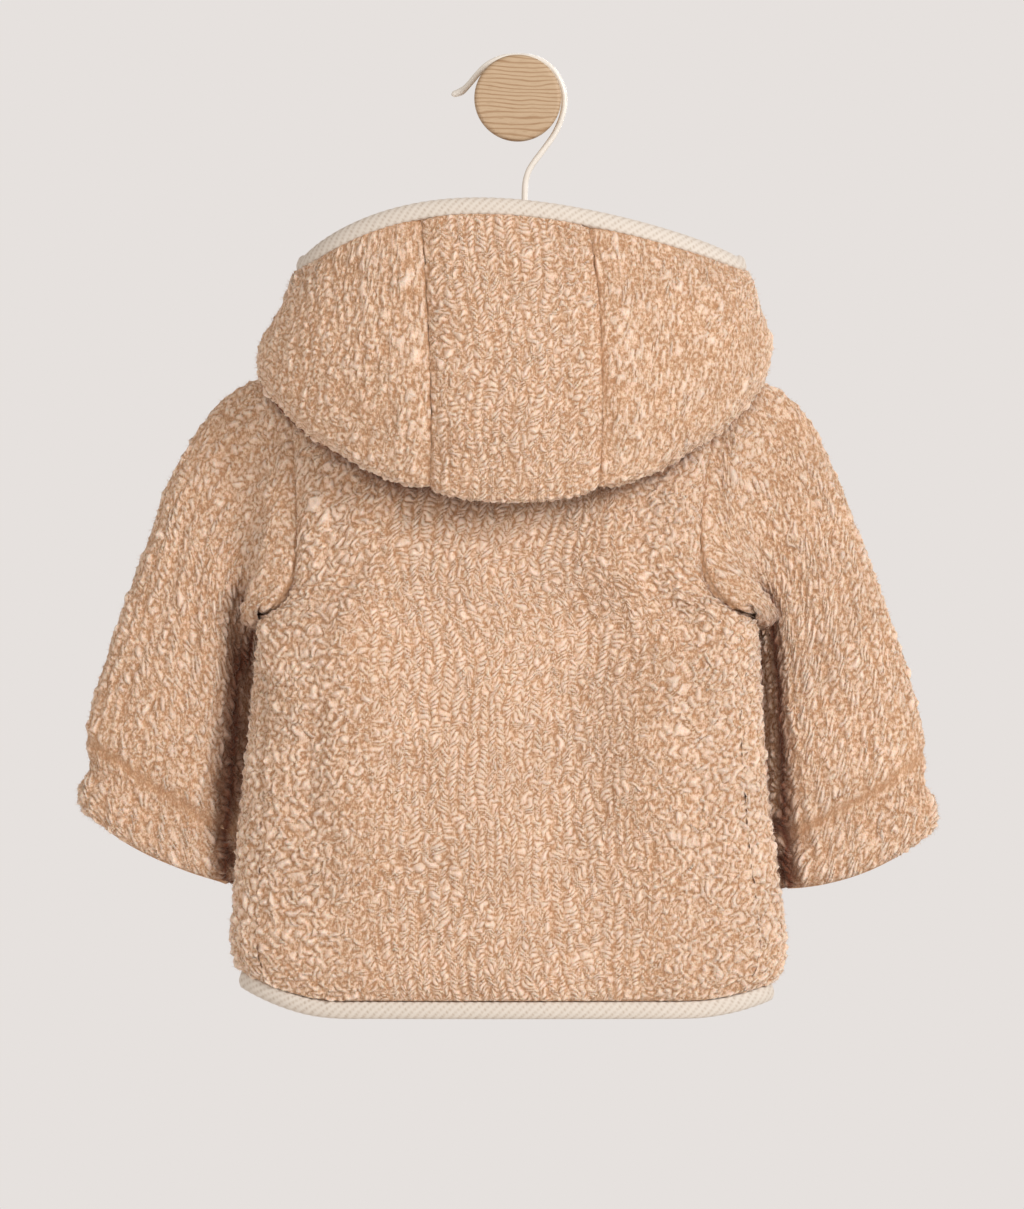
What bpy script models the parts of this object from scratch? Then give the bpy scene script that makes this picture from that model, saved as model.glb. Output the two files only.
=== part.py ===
"""Hooded teddy-fleece jacket for a baby, hung from a wire hanger on a round wooden wall knob.

The tables are in millimetres and the meshes in metres. X runs across the jacket, Y runs into
the wall and Z is up. The origin is the middle of the knob's wall face. Left and right are as
seen from the jacket's back, which faces -Y. Every cloth piece is a wall of its own, cut along
the real seams, and the sleeves, hem, neck and hood are open.
"""

import math

import bmesh
import bpy
import numpy as np

MM = 0.001
OBJECT_NAME = "fleece_jacket_on_hanger"

# Cloth: knitted backing with its pile, and the small clearances between sewn pieces.
WALL = 7.0
SEAM_GAP = 0.34
BINDING_HEIGHT = 8.4
BINDING_THICKNESS = 6.4
BINDING_GAP = 0.65

# The jacket's centre line hangs a little to the left of the knob, and its side seams lie in
# the plane CENTRE_Y between the back and the fronts.
CENTRE_X = -5.4
CENTRE_Y = -46.0
SECTION_POWER = 2.6

# Body, one row for each level: half widths to the outline and to the side seam, and depths.
BODY_COLUMNS = ("height", "left_edge", "right_edge", "left_seam", "right_seam", "back", "front")
BODY_ROWS = (
    (-526, 139, 145, 124, 131, 28, 26),
    (-517, 149, 152, 136, 138, 32, 29),
    (-508, 156, 158.5, 142, 143, 34, 31),
    (-495, 161, 161.5, 146, 146, 35, 32),
    (-470, 160.5, 160, 145, 145, 35, 33),
    (-440, 159, 156, 144, 141, 35, 34),
    (-408, 156, 152, 142, 138, 35, 34),
    (-375, 152, 149.6, 140, 136, 35, 34),
    (-345, 149.5, 147.7, 139, 136, 35, 34),
    (-320, 147, 146.7, 143, 142, 35, 34),
    (-300, 144.6, 144.8, 144.6, 144.8, 34, 34),
    (-262, 143.6, 137, 143.6, 137, 34, 34),
    (-220, 143.4, 132, 143.4, 132, 34, 34),
    (-140, 148, 142, 148, 142, 34, 34),
)

# Shoulders, neck and armholes.
NECK_HALF = 62.0
NECK_TOP = -143.0
BACK_NECK_DIP = 12.0
FRONT_NECK_DIP = 42.0
SHOULDER_END = 130.0
SHOULDER_DROP = 17.0
SHOULDER_ROUND = 28.0
UNDERARM = -300.0
ARMHOLE_BEND = -262.0
ARMHOLE_LEVELS = (-238, -216, -198, -185, -174, -166.5, -162)
ARMHOLE_BACK = {-1: 124.0, 1: 113.0}
ARMHOLE_FRONT = {-1: 122.0, 1: 118.0}
ARMHOLE_CURVE_STEPS = 4

# Hem and front edges. The left front laps over the right one, which is tucked behind it.
SIDE_LEVELS = (-508, -495, -470, -440, -408, -375, -345, -320)
BACK_HEM = -524.0
LEFT_HEM = -507.0
RIGHT_HEM = -514.0
FRONT_HEM = -514.0
FRONT_LAP = 7.0
EDGE_WAVE = 0.8
EDGE_BENDS = 3
LAP_TUCK = 9.6
LAP_TUCK_FROM = 52.0
LAP_TUCK_FULL = 18.0
LAP_COLUMNS = (48.0, 17.0)
SHOULDER_STEPS = 4
BACK_NECK_STEPS = 10
FRONT_NECK_STEPS = 6

# Soft folds of the back: middle, half length, half width and depth into the cloth.
FOLD_COLUMNS = ("across", "height", "half_length", "half_width", "depth", "lean")
BACK_FOLDS = (
    (-97, -262, 52, 13, 3.0, 8),
    (-112, -392, 80, 15, 2.2, 2),
    (-42, -330, 95, 24, 1.8, -3),
    (2, -440, 90, 30, -1.6, 0),
    (48, -318, 85, 22, 2.0, 4),
    (89, -270, 55, 14, 3.0, -9),
    (113, -405, 75, 15, 2.4, -3),
    (-66, -478, 45, 22, 1.6, 6),
    (64, -470, 50, 22, 1.8, -5),
)

# Sleeves, one row for each ring from the armhole to the cuff: the ring's outer and inner ends
# in the plane of the jacket, its back and front, how far its faces bow in, its wall, and how
# far its middle bows down towards the cuff.
SLEEVE_COLUMNS = (
    "out", "out_z", "in", "in_z", "back", "front", "bow_back", "bow_front", "wall", "bow_down",
)
SLEEVE_ROWS = {
    -1: (
        (143, -161, 149, -301, -61, -20, 6, 4, 7, 0),
        (156, -165.5, 152, -305, -53, -15.5, 7, 3, 7, 0),
        (170, -177, 152, -311, -47.5, -11.5, 5, 2, 7, 0),
        (184.5, -196, 151, -321, -46.5, -9, 2, 0, 7, 0),
        (199, -221, 149, -335, -46.5, -8, 0, 0, 7, 0),
        (208.5, -249, 147.5, -352, -46.5, -8, 0, 0, 7, 0),
        (218.5, -277, 147.5, -371, -46, -8, 0, 0, 7, 0),
        (230.5, -309, 149.5, -391, -46, -8, 0, 0, 7, 0),
        (240.5, -341, 151.5, -409, -46, -8, 0, 0, 7, 1),
        (247.5, -370, 153, -421.5, -46, -8, 0, 0, 7, 2),
        (247, -390, 156, -430.5, -44, -10, 0, 0, 8, 3),
        (251, -400, 155.5, -441, -46.5, -8, 0, 0, 10, 4),
        (249.5, -413.5, 157.5, -454, -46, -8.5, 0, 0, 10, 5),
    ),
    1: (
        (144, -163, 149, -301, -61, -20, 17, 5, 7, 0),
        (158, -168, 152, -305, -53, -15.5, 17, 4, 7, 0),
        (172, -180, 152, -311, -47.5, -11.5, 13, 3, 7, 0),
        (185, -203, 151, -321, -46.5, -9, 6, 0, 7, 0),
        (197, -230, 149, -335, -46.5, -8, 2, 0, 7, 0),
        (207, -256, 147.5, -352, -46.5, -8, 0, 0, 7, 0),
        (217, -283, 146.5, -371, -46, -8, 0, 0, 7, 0),
        (227, -311, 147, -391, -46, -8, 0, 0, 7, 1),
        (236.5, -343, 148, -410, -46, -8, 0, 0, 7, 2.5),
        (244, -376, 150, -424, -46, -8, 0, 0, 7, 4),
        (246, -399, 153.5, -434, -44, -10, 0, 0, 8, 5.5),
        (250.5, -409, 153, -444, -46.5, -8, 0, 0, 10, 6.5),
        (250, -423, 156, -457, -46, -8.5, 0, 0, 10, 7.5),
    ),
}
SLEEVE_POWER = 2.3
SEAM_RISE = 2.0
SEAM_RUN = 5.0
LIP_LENGTH = 3.2
LIP_ROUND = 2.4

# Hood, one row for each ring from the neck seam down between the hood and the back, round the
# bottom of the pouch and up its outer side to the face edge.
HOOD_COLUMNS = (
    "half_width", "centre", "back", "front", "z_back", "z_side", "z_front", "strip", "pinch",
    "lean", "drop",
)
HOOD_ROWS = (
    (65, 0, -77, -12, -147, -134, -178, 38, 1.0, 0, 1.6),
    (79, 1, -84, -11.5, -156, -138.5, -173, 40, 1.3, 0, 1.6),
    (108, 2, -84.5, -11, -184, -148, -168, 43, 1.7, 0, 1.5),
    (136, 2, -86.5, -10.5, -216, -153.5, -163, 46, 2.0, 0, 1.4),
    (151, 2.5, -97, -10, -235, -154, -160, 49, 2.2, 0, 1.3),
    (152.5, 3.5, -113, -10, -235, -144, -157.5, 50, 2.2, 0, 1.4),
    (147, 5.5, -123, -10, -208, -131, -155, 50, 2.2, 1, 1.6),
    (140, 7, -126, -10, -164, -119, -152.5, 50, 2.2, 3, 1.8),
    (136, 7.5, -120, -10, -115, -108, -150, 50, 2.2, 6, 1.9),
    (131.5, 7.5, -110, -10, -68, -99, -148, 49, 2.2, 11, 2.1),
)
HOOD_STRIP_STEPS = 8
HOOD_SIDE_STEPS = 14
HOOD_TIP = 0.55
HOOD_FRONT_POWER = 1.5
HOOD_END = 14.0
STRIP_AT_NECK = 37.0
HOOD_REST = 4.2
SHOULDER_THICK = 20.0
HOOD_RISE_FROM = 84.0
HOOD_RISE_FULL = 130.0
HOOD_RISE_LIFT = 10.0
HOOD_TUCK_FROM = 80.0

# Press studs on the front that laps over.
STUD_RADIUS = 6.5
STUD_HEIGHT = 2.6
STUD_SIDES = 16
STUD_HEIGHTS = (-215, -305, -395, -485)

# Hanger: the hook's route is x and z from the middle of the knob.
WIRE_RADIUS = 1.75
ARM_RADIUS = 2.0
HOOK_ROUTE = (
    (-38.5, 2.4), (-35.4, 3.4), (-32.3, 4.8), (-28.1, 8.9), (-23.3, 14.6), (-18.4, 19.4),
    (-13.6, 22.3), (-7.2, 24.4), (0.0, 24.9), (7.2, 24.4), (13.8, 22.2), (19.7, 17.8),
    (24.2, 11.2), (26.7, 3.9), (27.0, -2.8), (25.5, -10.6), (21.4, -20.0), (15.2, -29.0),
    (9.2, -37.0), (5.6, -43.4), (4.3, -49.5), (4.0, -58.6), (4.0, -80.0), (4.0, -105.0),
)
ARM_REACH = 121.0
ARM_DROP = 1.6
HANGER_X = 4.0

# Wall knob, turned: distance from the wall and radius, from the wall to its face.
KNOB_PROFILE = (
    (0.0, 21.5), (1.2, 22.4), (50.5, 22.4), (52.0, 22.9), (53.6, 24.4), (55.2, 25.0),
    (60.6, 25.0), (61.8, 24.5), (62.5, 23.4),
)
KNOB_SIDES = 28

FLEECE_COLOUR = "D6B195"
BINDING_COLOUR = "E4DACF"
STUD_COLOUR = "E9E2D8"
WIRE_COLOUR = "F1ECE4"
WOOD_COLOUR = "C3A88C"


def table(columns, rows):
    """The rows of a table as one array for each named column."""
    return dict(zip(columns, np.array(rows, float).T))


BODY = table(BODY_COLUMNS, BODY_ROWS)


def smooth(knots, values, at):
    """A cubic curve through the values, with the slope at each knot taken from its neighbours."""
    knots = np.asarray(knots, float)
    values = np.asarray(values, float)
    slopes = np.gradient(values, knots, axis=0)
    at = np.clip(np.asarray(at, float), knots[0], knots[-1])
    left = np.clip(np.searchsorted(knots, at) - 1, 0, len(knots) - 2)
    span = knots[left + 1] - knots[left]
    part = (at - knots[left]) / span
    extra = (1,) * (values.ndim - 1)
    part = part.reshape(part.shape + extra)
    span = span.reshape(span.shape + extra)
    start = (1 + 2 * part) * (1 - part) ** 2 * values[left]
    end = part**2 * (3 - 2 * part) * values[left + 1]
    bend = part * (1 - part) * span * ((1 - part) * slopes[left] - part * slopes[left + 1])
    return start + end + bend


def unit(vectors):
    length = np.linalg.norm(vectors, axis=-1, keepdims=True)
    return vectors / np.maximum(length, 1e-9)


def signed_power(value, power):
    return np.sign(value) * np.abs(value) ** power


def ease(value):
    value = np.clip(value, 0.0, 1.0)
    return value * value * (3 - 2 * value)


# Body surface. A turn of 0 is the centre back, -90 the left edge, 90 the right edge and 180
# or -180 the centre front.


def half_width(turn, height):
    left = smooth(BODY["height"], BODY["left_edge"], height)
    right = smooth(BODY["height"], BODY["right_edge"], height)
    return np.where(np.sin(np.radians(turn)) < 0, left, right)


def turn_at(across, height, on_front=False):
    """The turn at which the body's surface is this far across from its centre line."""
    width = half_width(np.sign(across) * 90, height)
    share = np.clip(np.abs(across) / width, 0.0, 1.0)
    turn = np.degrees(np.arcsin(share ** (SECTION_POWER / 2)))
    if on_front:
        turn = 180 - turn
    return np.sign(across) * turn


def ridge_height(across):
    """The top of the shoulder at this distance across."""
    beyond = np.maximum(np.abs(across) - NECK_HALF, 0.0)
    return NECK_TOP - SHOULDER_DROP * beyond / (SHOULDER_END - NECK_HALF)


def fold_depth(across, height):
    """How far the soft folds press the back panel in."""
    folds = table(FOLD_COLUMNS, BACK_FOLDS)
    total = np.zeros(np.broadcast(across, height).shape)
    for row in zip(*(folds[name] for name in FOLD_COLUMNS)):
        middle, level, long, wide, depth, lean = row
        up = height - level
        aside = across - middle - up * math.tan(math.radians(lean))
        total += depth * np.exp(-((up / long) ** 2) - (aside / wide) ** 2)
    return total


def body_point(turn, height, inward=0.0, tucked=False):
    """A point of the body's outer surface, or of its inner one a wall's thickness inward."""
    turn = np.asarray(turn, float)
    height = np.asarray(height, float)
    power = 2 / SECTION_POWER
    across_share = signed_power(np.sin(np.radians(turn)), power)
    depth_share = signed_power(np.cos(np.radians(turn)), power)
    width = half_width(turn, height)
    below = ridge_height(width * across_share) - height
    upright = np.clip(1 - below / SHOULDER_ROUND, 0.0, 1.0)
    back = smooth(BODY["height"], BODY["back"], height)
    front = smooth(BODY["height"], BODY["front"], height)
    depth = np.where(depth_share > 0, back, front)
    across = (width - inward) * across_share
    y = CENTRE_Y - (depth - inward) * depth_share * np.sqrt(1 - upright**2)
    y = y + np.where(depth_share > 0, fold_depth(across, height) * (1 - upright), 0.0)
    if tucked:
        y = y - LAP_TUCK * ease((LAP_TUCK_FROM - across) / (LAP_TUCK_FROM - LAP_TUCK_FULL)) * (
            depth_share < 0
        )
    return np.stack([CENTRE_X + across, y, height - inward * upright], axis=-1)


# Seam lines of the body, as (turn, height) pairs.


def hem_height(turn):
    side_hem = np.where(np.sin(np.radians(turn)) < 0, LEFT_HEM, RIGHT_HEM)
    up_to_side = (side_hem - BACK_HEM) * ease((np.abs(turn) - 40) / 50)
    down_to_front = (FRONT_HEM - side_hem) * ease((np.abs(turn) - 90) / 50)
    return BACK_HEM + up_to_side + down_to_front


def side_seam(side):
    """From the hem up to the underarm."""
    name = "left_seam" if side < 0 else "right_seam"
    heights = np.array((BACK_HEM,) + SIDE_LEVELS, float)
    across = side * smooth(BODY["height"], BODY[name], heights)
    turns = turn_at(across, heights)
    heights[0] = hem_height(turns[0])
    return list(zip(turns, heights)) + [(side * 90.0, UNDERARM)]


def armhole(side, on_front):
    """From the underarm up to the end of the shoulder."""
    seam = (ARMHOLE_FRONT if on_front else ARMHOLE_BACK)[side]
    edge = float(half_width(side * 90, UNDERARM))
    line = []
    for step in range(1, ARMHOLE_CURVE_STEPS + 1):
        angle = math.pi / 2 * step / ARMHOLE_CURVE_STEPS
        height = UNDERARM + (ARMHOLE_BEND - UNDERARM) * (1 - math.cos(angle))
        across = edge - (edge - seam) * math.sin(angle)
        line.append((float(turn_at(side * across, height, on_front)), height))
    top = NECK_TOP - SHOULDER_DROP
    for height in ARMHOLE_LEVELS + (top,):
        risen = (height - ARMHOLE_BEND) / (top - ARMHOLE_BEND)
        across = seam + (SHOULDER_END - seam) * risen**2
        line.append((float(turn_at(side * across, height, on_front)), float(height)))
    return line


def shoulder_line(side, on_front):
    """From the end of the shoulder in to the neck."""
    across = np.linspace(SHOULDER_END, NECK_HALF, SHOULDER_STEPS + 1)
    heights = ridge_height(across)
    return list(zip(turn_at(side * across, heights, on_front), heights))


def back_neck():
    """From the left neck point round the back of the neck to the right one."""
    angles = np.linspace(math.pi, 0, BACK_NECK_STEPS + 1)
    across = NECK_HALF * np.cos(angles)
    heights = NECK_TOP - BACK_NECK_DIP * np.sin(angles)
    return list(zip(turn_at(across, heights), heights))


def front_neck(side):
    """From the neck point down to the top of the front edge, past the centre line."""
    past = math.asin(FRONT_LAP / NECK_HALF)
    angles = np.linspace(0, math.pi / 2 + past, FRONT_NECK_STEPS + 1)
    line = []
    for angle in angles:
        across = NECK_HALF * math.cos(angle)
        height = NECK_TOP - FRONT_NECK_DIP * math.sin(angle)
        line.append((front_turn(side, across, height), height))
    return line


def front_turn(side, across, height):
    """The turn on a front, which runs past 180 degrees where the front laps over."""
    if across >= 0:
        return float(turn_at(side * max(across, 1e-6), height, True))
    return side * 360 + float(turn_at(side * across, height, True))


def front_edge(side, top):
    """Up the free edge of a front, with one point for each row."""
    rows = len(SIDE_LEVELS) + 1 + ARMHOLE_CURVE_STEPS + len(ARMHOLE_LEVELS) + 1
    rise = np.linspace(0, 1, rows + 1)
    heights = FRONT_HEM + (top - FRONT_HEM) * (0.35 * rise + 0.65 * ease(rise))
    across = -FRONT_LAP - EDGE_WAVE * np.sin(EDGE_BENDS * math.pi * rise)
    return [(front_turn(side, *spot), spot[1]) for spot in zip(across, heights)]


# Panels are grids of points, row by row, with an outer and an inner layer.


def patch(left, right, bottom, top):
    """A Coons patch between four border lines of (turn, height) pairs."""
    left, right, bottom, top = (np.array(line, float) for line in (left, right, bottom, top))
    up = np.linspace(0, 1, len(left))[:, None, None]
    along = np.linspace(0, 1, len(bottom))[None, :, None]
    across = (1 - along) * left[:, None] + along * right[:, None]
    upward = (1 - up) * bottom[None] + up * top[None]
    corners = (1 - up) * ((1 - along) * bottom[0] + along * bottom[-1])
    corners = corners + up * ((1 - along) * top[0] + along * top[-1])
    return across + upward - corners


def body_layers(grid, tucked=False):
    outer = body_point(grid[..., 0], grid[..., 1], 0.0, tucked)
    inner = body_point(grid[..., 0], grid[..., 1], WALL, tucked)
    return outer, inner


def back_layers():
    left = side_seam(-1) + armhole(-1, False)
    right = side_seam(1) + armhole(1, False)
    top = shoulder_line(-1, False)[:-1] + back_neck() + shoulder_line(1, False)[-2::-1]
    turns = np.linspace(left[0][0], right[0][0], len(top))
    across = np.linspace(-1, 1, len(top))
    widest = (float(BODY["left_seam"][0]) + float(BODY["right_seam"][0])) / 2
    spread = turn_at(across * widest, np.full(len(top), BACK_HEM))
    turns[1:-1] = spread[1:-1]
    return body_layers(patch(left, right, list(zip(turns, hem_height(turns))), top))


def front_layers(side):
    seam = side_seam(side) + armhole(side, True)
    top = shoulder_line(side, True)[:-1] + front_neck(side)
    edge = front_edge(side, top[-1][1])
    lap = [front_turn(side, across, FRONT_HEM) for across in LAP_COLUMNS]
    turns = np.linspace(seam[0][0], lap[0], len(top) - len(lap))
    turns = np.concatenate([turns, lap[1:], [edge[0][0]]])
    return body_layers(patch(seam, edge, list(zip(turns, hem_height(turns))), top), side > 0)


def grid_normals(points, closed):
    """Unit normals of a grid of points, from the differences between its neighbours."""
    if closed:
        along = np.roll(points, -1, axis=1) - np.roll(points, 1, axis=1)
    else:
        along = np.gradient(points, axis=1)
    up = np.gradient(points, axis=0)
    return unit(np.cross(along, up))


def sleeve_ring(row, side, angles):
    power = 2 / SLEEVE_POWER
    end_to_end = signed_power(np.cos(angles), power)
    face = signed_power(np.sin(angles), power)
    middle_x = (row["out"] + row["in"]) / 2
    middle_z = (row["out_z"] + row["in_z"]) / 2
    middle_y = (row["back"] + row["front"]) / 2
    bow = np.where(face > 0, row["bow_back"], row["bow_front"]) * np.abs(face) ** 3
    span = math.hypot(row["out"] - row["in"], row["out_z"] - row["in_z"])
    down = row["bow_down"] * (1 - end_to_end**2) / span
    x = middle_x + (row["out"] - row["in"]) / 2 * end_to_end - bow
    x = x + down * (row["out_z"] - row["in_z"])
    z = middle_z + (row["out_z"] - row["in_z"]) / 2 * end_to_end
    z = z - down * (row["out"] - row["in"])
    y = middle_y - face * (row["front"] - row["back"]) / 2
    return np.stack([CENTRE_X + side * x, y, z], axis=-1)


def armhole_loop(side):
    """The armhole from the shoulder's end down the back, and up the front again."""
    behind = armhole(side, False)[::-1] + [(side * 90.0, UNDERARM)]
    loop = np.array(behind + armhole(side, True)[:-1], float)
    tucked = side > 0
    outer = body_point(loop[:, 0], loop[:, 1], 0.0, tucked)
    inner = body_point(loop[:, 0], loop[:, 1], WALL, tucked)
    return outer, inner


def sleeve_layers(side):
    outer_seam, inner_seam = armhole_loop(side)
    count = len(outer_seam)
    angles = 2 * math.pi * np.arange(count) / count
    normal = unit(outer_seam - inner_seam)
    along = np.roll(outer_seam, -1, axis=0) - np.roll(outer_seam, 1, axis=0)
    inside = unit(np.cross(normal, along))
    heart = outer_seam.mean(axis=0) + (side * 18.0, 0.0, 0.0)
    facing = np.sign(np.sum(inside * (heart - outer_seam), axis=1, keepdims=True))
    rise = outer_seam + SEAM_RISE * normal + SEAM_RUN * inside * facing
    rows = [dict(zip(SLEEVE_COLUMNS, row)) for row in SLEEVE_ROWS[side]]
    rings = [outer_seam, rise] + [sleeve_ring(row, side, angles) for row in rows]
    walls = np.array([WALL, WALL] + [row["wall"] for row in rows])
    outer = np.array(rings)
    direction = side * grid_normals(outer, True)
    inner = outer - walls[:, None, None] * direction
    inner[0] = inner_seam
    step = unit(outer[-1] - outer[-2])
    end_outer = outer[-1] + LIP_LENGTH * step - LIP_ROUND * direction[-1]
    end_inner = inner[-1] + LIP_LENGTH * step + LIP_ROUND * direction[-1]
    return np.concatenate([outer, end_outer[None]]), np.concatenate([inner, end_inner[None]])


def neck_line(back, left, right, layer):
    """The body's neck edge from the left front, round the back, to the right front."""
    neck_back = back[layer][-1, SHOULDER_STEPS : SHOULDER_STEPS + BACK_NECK_STEPS + 1]
    neck_left = left[layer][-1, SHOULDER_STEPS + 1 :][::-1]
    neck_right = right[layer][-1, SHOULDER_STEPS + 1 :]
    return np.concatenate([neck_left, neck_back, neck_right])


def along_line(line, stations, lengths):
    return np.stack([np.interp(stations, lengths, line[:, axis]) for axis in range(3)], axis=-1)


def neck_stations(line, lengths):
    """Where the hood's columns meet the neck: even between its front ends and the strip's seams."""
    across = line[:, 0] - CENTRE_X
    left = slice(0, FRONT_NECK_STEPS + 1)
    back = slice(FRONT_NECK_STEPS, FRONT_NECK_STEPS + BACK_NECK_STEPS + 1)
    right = slice(FRONT_NECK_STEPS + BACK_NECK_STEPS, len(line))
    start = np.interp(HOOD_END, -across[left], lengths[left])
    seams = np.interp((-STRIP_AT_NECK, STRIP_AT_NECK), across[back], lengths[back])
    end = np.interp(-HOOD_END, -across[right], lengths[right])
    left_side = np.linspace(start, seams[0], HOOD_SIDE_STEPS + 1)
    strip = np.linspace(seams[0], seams[1], HOOD_STRIP_STEPS + 1)
    right_side = np.linspace(seams[1], end, HOOD_SIDE_STEPS + 1)
    return np.concatenate([left_side, strip[1:], right_side[1:]])


def hood_angles(half_width, strip, pinch):
    """The hood's columns as angles round it: 0 at the back and 180 at the front."""
    seam = math.asin(strip / half_width)
    end = math.pi - math.asin((HOOD_END / half_width) ** (1 / pinch))
    left = np.linspace(-end, -seam, HOOD_SIDE_STEPS + 1)
    middle = np.arcsin(np.linspace(-strip, strip, HOOD_STRIP_STEPS + 1) / half_width)
    right = np.linspace(seam, end, HOOD_SIDE_STEPS + 1)
    return np.concatenate([left, middle[1:], right[1:]])


def hood_ring(row):
    angles = hood_angles(row["half_width"], row["strip"], row["pinch"])
    sine = np.sin(angles)
    cosine = np.cos(angles)
    in_front = cosine < 0
    power = np.where(in_front, row["pinch"], 1.0)
    across = row["half_width"] * signed_power(sine, power)
    shift = row["centre"] * np.where(in_front, 1 - np.abs(cosine) ** 1.5, 1.0)
    shift = shift - np.where(in_front, 0.0, row["lean"] * cosine**2)
    middle = (row["back"] + row["front"]) / 2
    y = middle + cosine * (row["back"] - row["front"]) / 2
    tuck = LAP_TUCK * ease((HOOD_TUCK_FROM - across) / (HOOD_TUCK_FROM - LAP_TUCK_FULL))
    y = y - np.where(in_front & (sine > 0), tuck, 0.0)
    tipped = np.abs(np.cos(angles + np.radians(HOOD_TIP * row["lean"]) * cosine**2))
    z_back = row["z_side"] + (row["z_back"] - row["z_side"]) * tipped ** row["drop"]
    z_front = row["z_front"] - row["z_side"]
    z_front = row["z_side"] + z_front * np.abs(cosine) ** HOOD_FRONT_POWER
    z = np.where(in_front, z_front, z_back)
    return np.stack([CENTRE_X + across + shift, y, z], axis=-1)


def settled(points):
    """The points moved out where needed, so that they rest just clear of shoulders and back."""
    across = points[..., 0] - CENTRE_X
    edge = half_width(np.sign(across) * 90, np.full(across.shape, ARMHOLE_BEND))
    share = np.clip(np.abs(across) / edge, 0.0, 1.0)
    depth = (1 - share**SECTION_POWER) ** (1 / SECTION_POWER)
    back = smooth(BODY["height"], BODY["back"], points[..., 2])
    thick = np.maximum(back * depth, SHOULDER_THICK) + HOOD_REST
    bend = ridge_height(across) - SHOULDER_ROUND
    rise = np.maximum(points[..., 2] - bend, 0.0) / (SHOULDER_ROUND + HOOD_REST)
    out = (points[..., 1] - CENTRE_Y) / thick
    reach = np.maximum(np.hypot(rise, out), 1e-6)
    push = np.maximum(1.0, 1.0 / reach)
    y = CENTRE_Y + out * push * thick
    z = np.where(rise > 0, bend + rise * push * (SHOULDER_ROUND + HOOD_REST), points[..., 2])
    return np.stack([points[..., 0], y, z], axis=-1)


def hood_layers(back, left, right):
    """The whole hood: its outside, which faces the jacket's back inside the fold, and its inside."""
    edge = neck_line(back, left, right, 0)
    steps = np.linalg.norm(np.diff(edge, axis=0), axis=1)
    lengths = np.concatenate([[0.0], np.cumsum(steps)])
    stations = neck_stations(edge, lengths)
    first_outer = along_line(edge, stations, lengths)
    first_inner = along_line(neck_line(back, left, right, 1), stations, lengths)
    rows = [dict(zip(HOOD_COLUMNS, row)) for row in HOOD_ROWS]
    folded = np.array([first_outer] + [settled(hood_ring(row)) for row in rows])
    along = np.linspace(0, 1, len(folded))[:, None, None]
    rising = (1 - along) * folded[:1] + along * folded[-1:]
    rising = rising + 6.75 * along * (1 - along) ** 2 * (0.0, 0.0, HOOD_RISE_LIFT)
    angles = np.array([hood_angles(row["half_width"], row["strip"], row["pinch"]) for row in rows])
    turned_to = np.degrees(np.abs(np.concatenate([angles[:1], angles])))
    share = ease((turned_to - HOOD_RISE_FROM) / (HOOD_RISE_FULL - HOOD_RISE_FROM))[..., None]
    outer = (1 - share) * folded + share * rising
    inner = outer - WALL * grid_normals(outer, False)
    inner[0] = first_inner
    return outer, inner


def trimmed(layers, sides):
    """The layers with half a seam's gap taken off the named borders, along the cloth."""
    outer, inner = (layer.copy() for layer in layers)
    borders = {
        "left": (np.s_[:, 0], np.s_[:, 1]),
        "right": (np.s_[:, -1], np.s_[:, -2]),
        "bottom": (np.s_[0], np.s_[1]),
        "top": (np.s_[-1], np.s_[-2]),
    }
    for side in sides:
        border, beside = borders[side]
        along = np.gradient(layers[0][border], axis=0)
        normal = unit(layers[0][border] - layers[1][border])
        inward = unit(np.cross(normal, along))
        towards = layers[0][beside] - layers[0][border]
        inward = inward * np.sign(np.sum(inward * towards, axis=1, keepdims=True))
        outer[border] += inward * SEAM_GAP / 2
        inner[border] += inward * SEAM_GAP / 2
    return outer, inner


# Blender objects.


def linear(hex_colour):
    """An sRGB hex colour as linear red, green and blue with full alpha."""
    channels = [int(hex_colour[place : place + 2], 16) / 255 for place in (0, 2, 4)]
    return [
        value / 12.92 if value <= 0.04045 else ((value + 0.055) / 1.055) ** 2.4
        for value in channels
    ] + [1.0]


def material(name, colour, roughness):
    made = bpy.data.materials.new(name)
    made.use_nodes = True
    shader = made.node_tree.nodes["Principled BSDF"]
    shader.inputs["Base Color"].default_value = linear(colour)
    shader.inputs["Roughness"].default_value = roughness
    shader.inputs["Metallic"].default_value = 0.0
    made.diffuse_color = linear(colour)
    return made


def clear_scene():
    for item in list(bpy.data.objects):
        bpy.data.objects.remove(item, do_unlink=True)


def place(name, data, collection, colour, roughness):
    item = bpy.data.objects.new(name, data)
    item.data.materials.append(material(name, colour, roughness))
    collection.objects.link(item)
    return item


def closed_mesh(name, points, faces):
    """A mesh in metres with its faces pointing out, smooth but for its sharp edges."""
    mesh = bpy.data.meshes.new(name)
    mesh.from_pydata((np.asarray(points) * MM).tolist(), [], faces)
    shape = bmesh.new()
    shape.from_mesh(mesh)
    bmesh.ops.recalc_face_normals(shape, faces=shape.faces)
    shape.to_mesh(mesh)
    shape.free()
    mesh.shade_smooth()
    mesh.set_sharp_from_angle(angle=math.radians(50))
    return mesh


def rim_faces(points, line, other):
    """The strip between the outer and inner borders, cut so that pieces that meet match."""
    faces = []
    for first, second in zip(range(len(line) - 1), range(1, len(line))):
        a, b, c, d = line[first], line[second], other[second], other[first]
        keys = [tuple(np.round(points[spot][[2, 0, 1]], 0)) for spot in (a, b)]
        if keys[0] <= keys[1]:
            faces += [(a, b, c), (a, c, d)]
        else:
            faces += [(a, b, d), (b, c, d)]
    return faces


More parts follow.
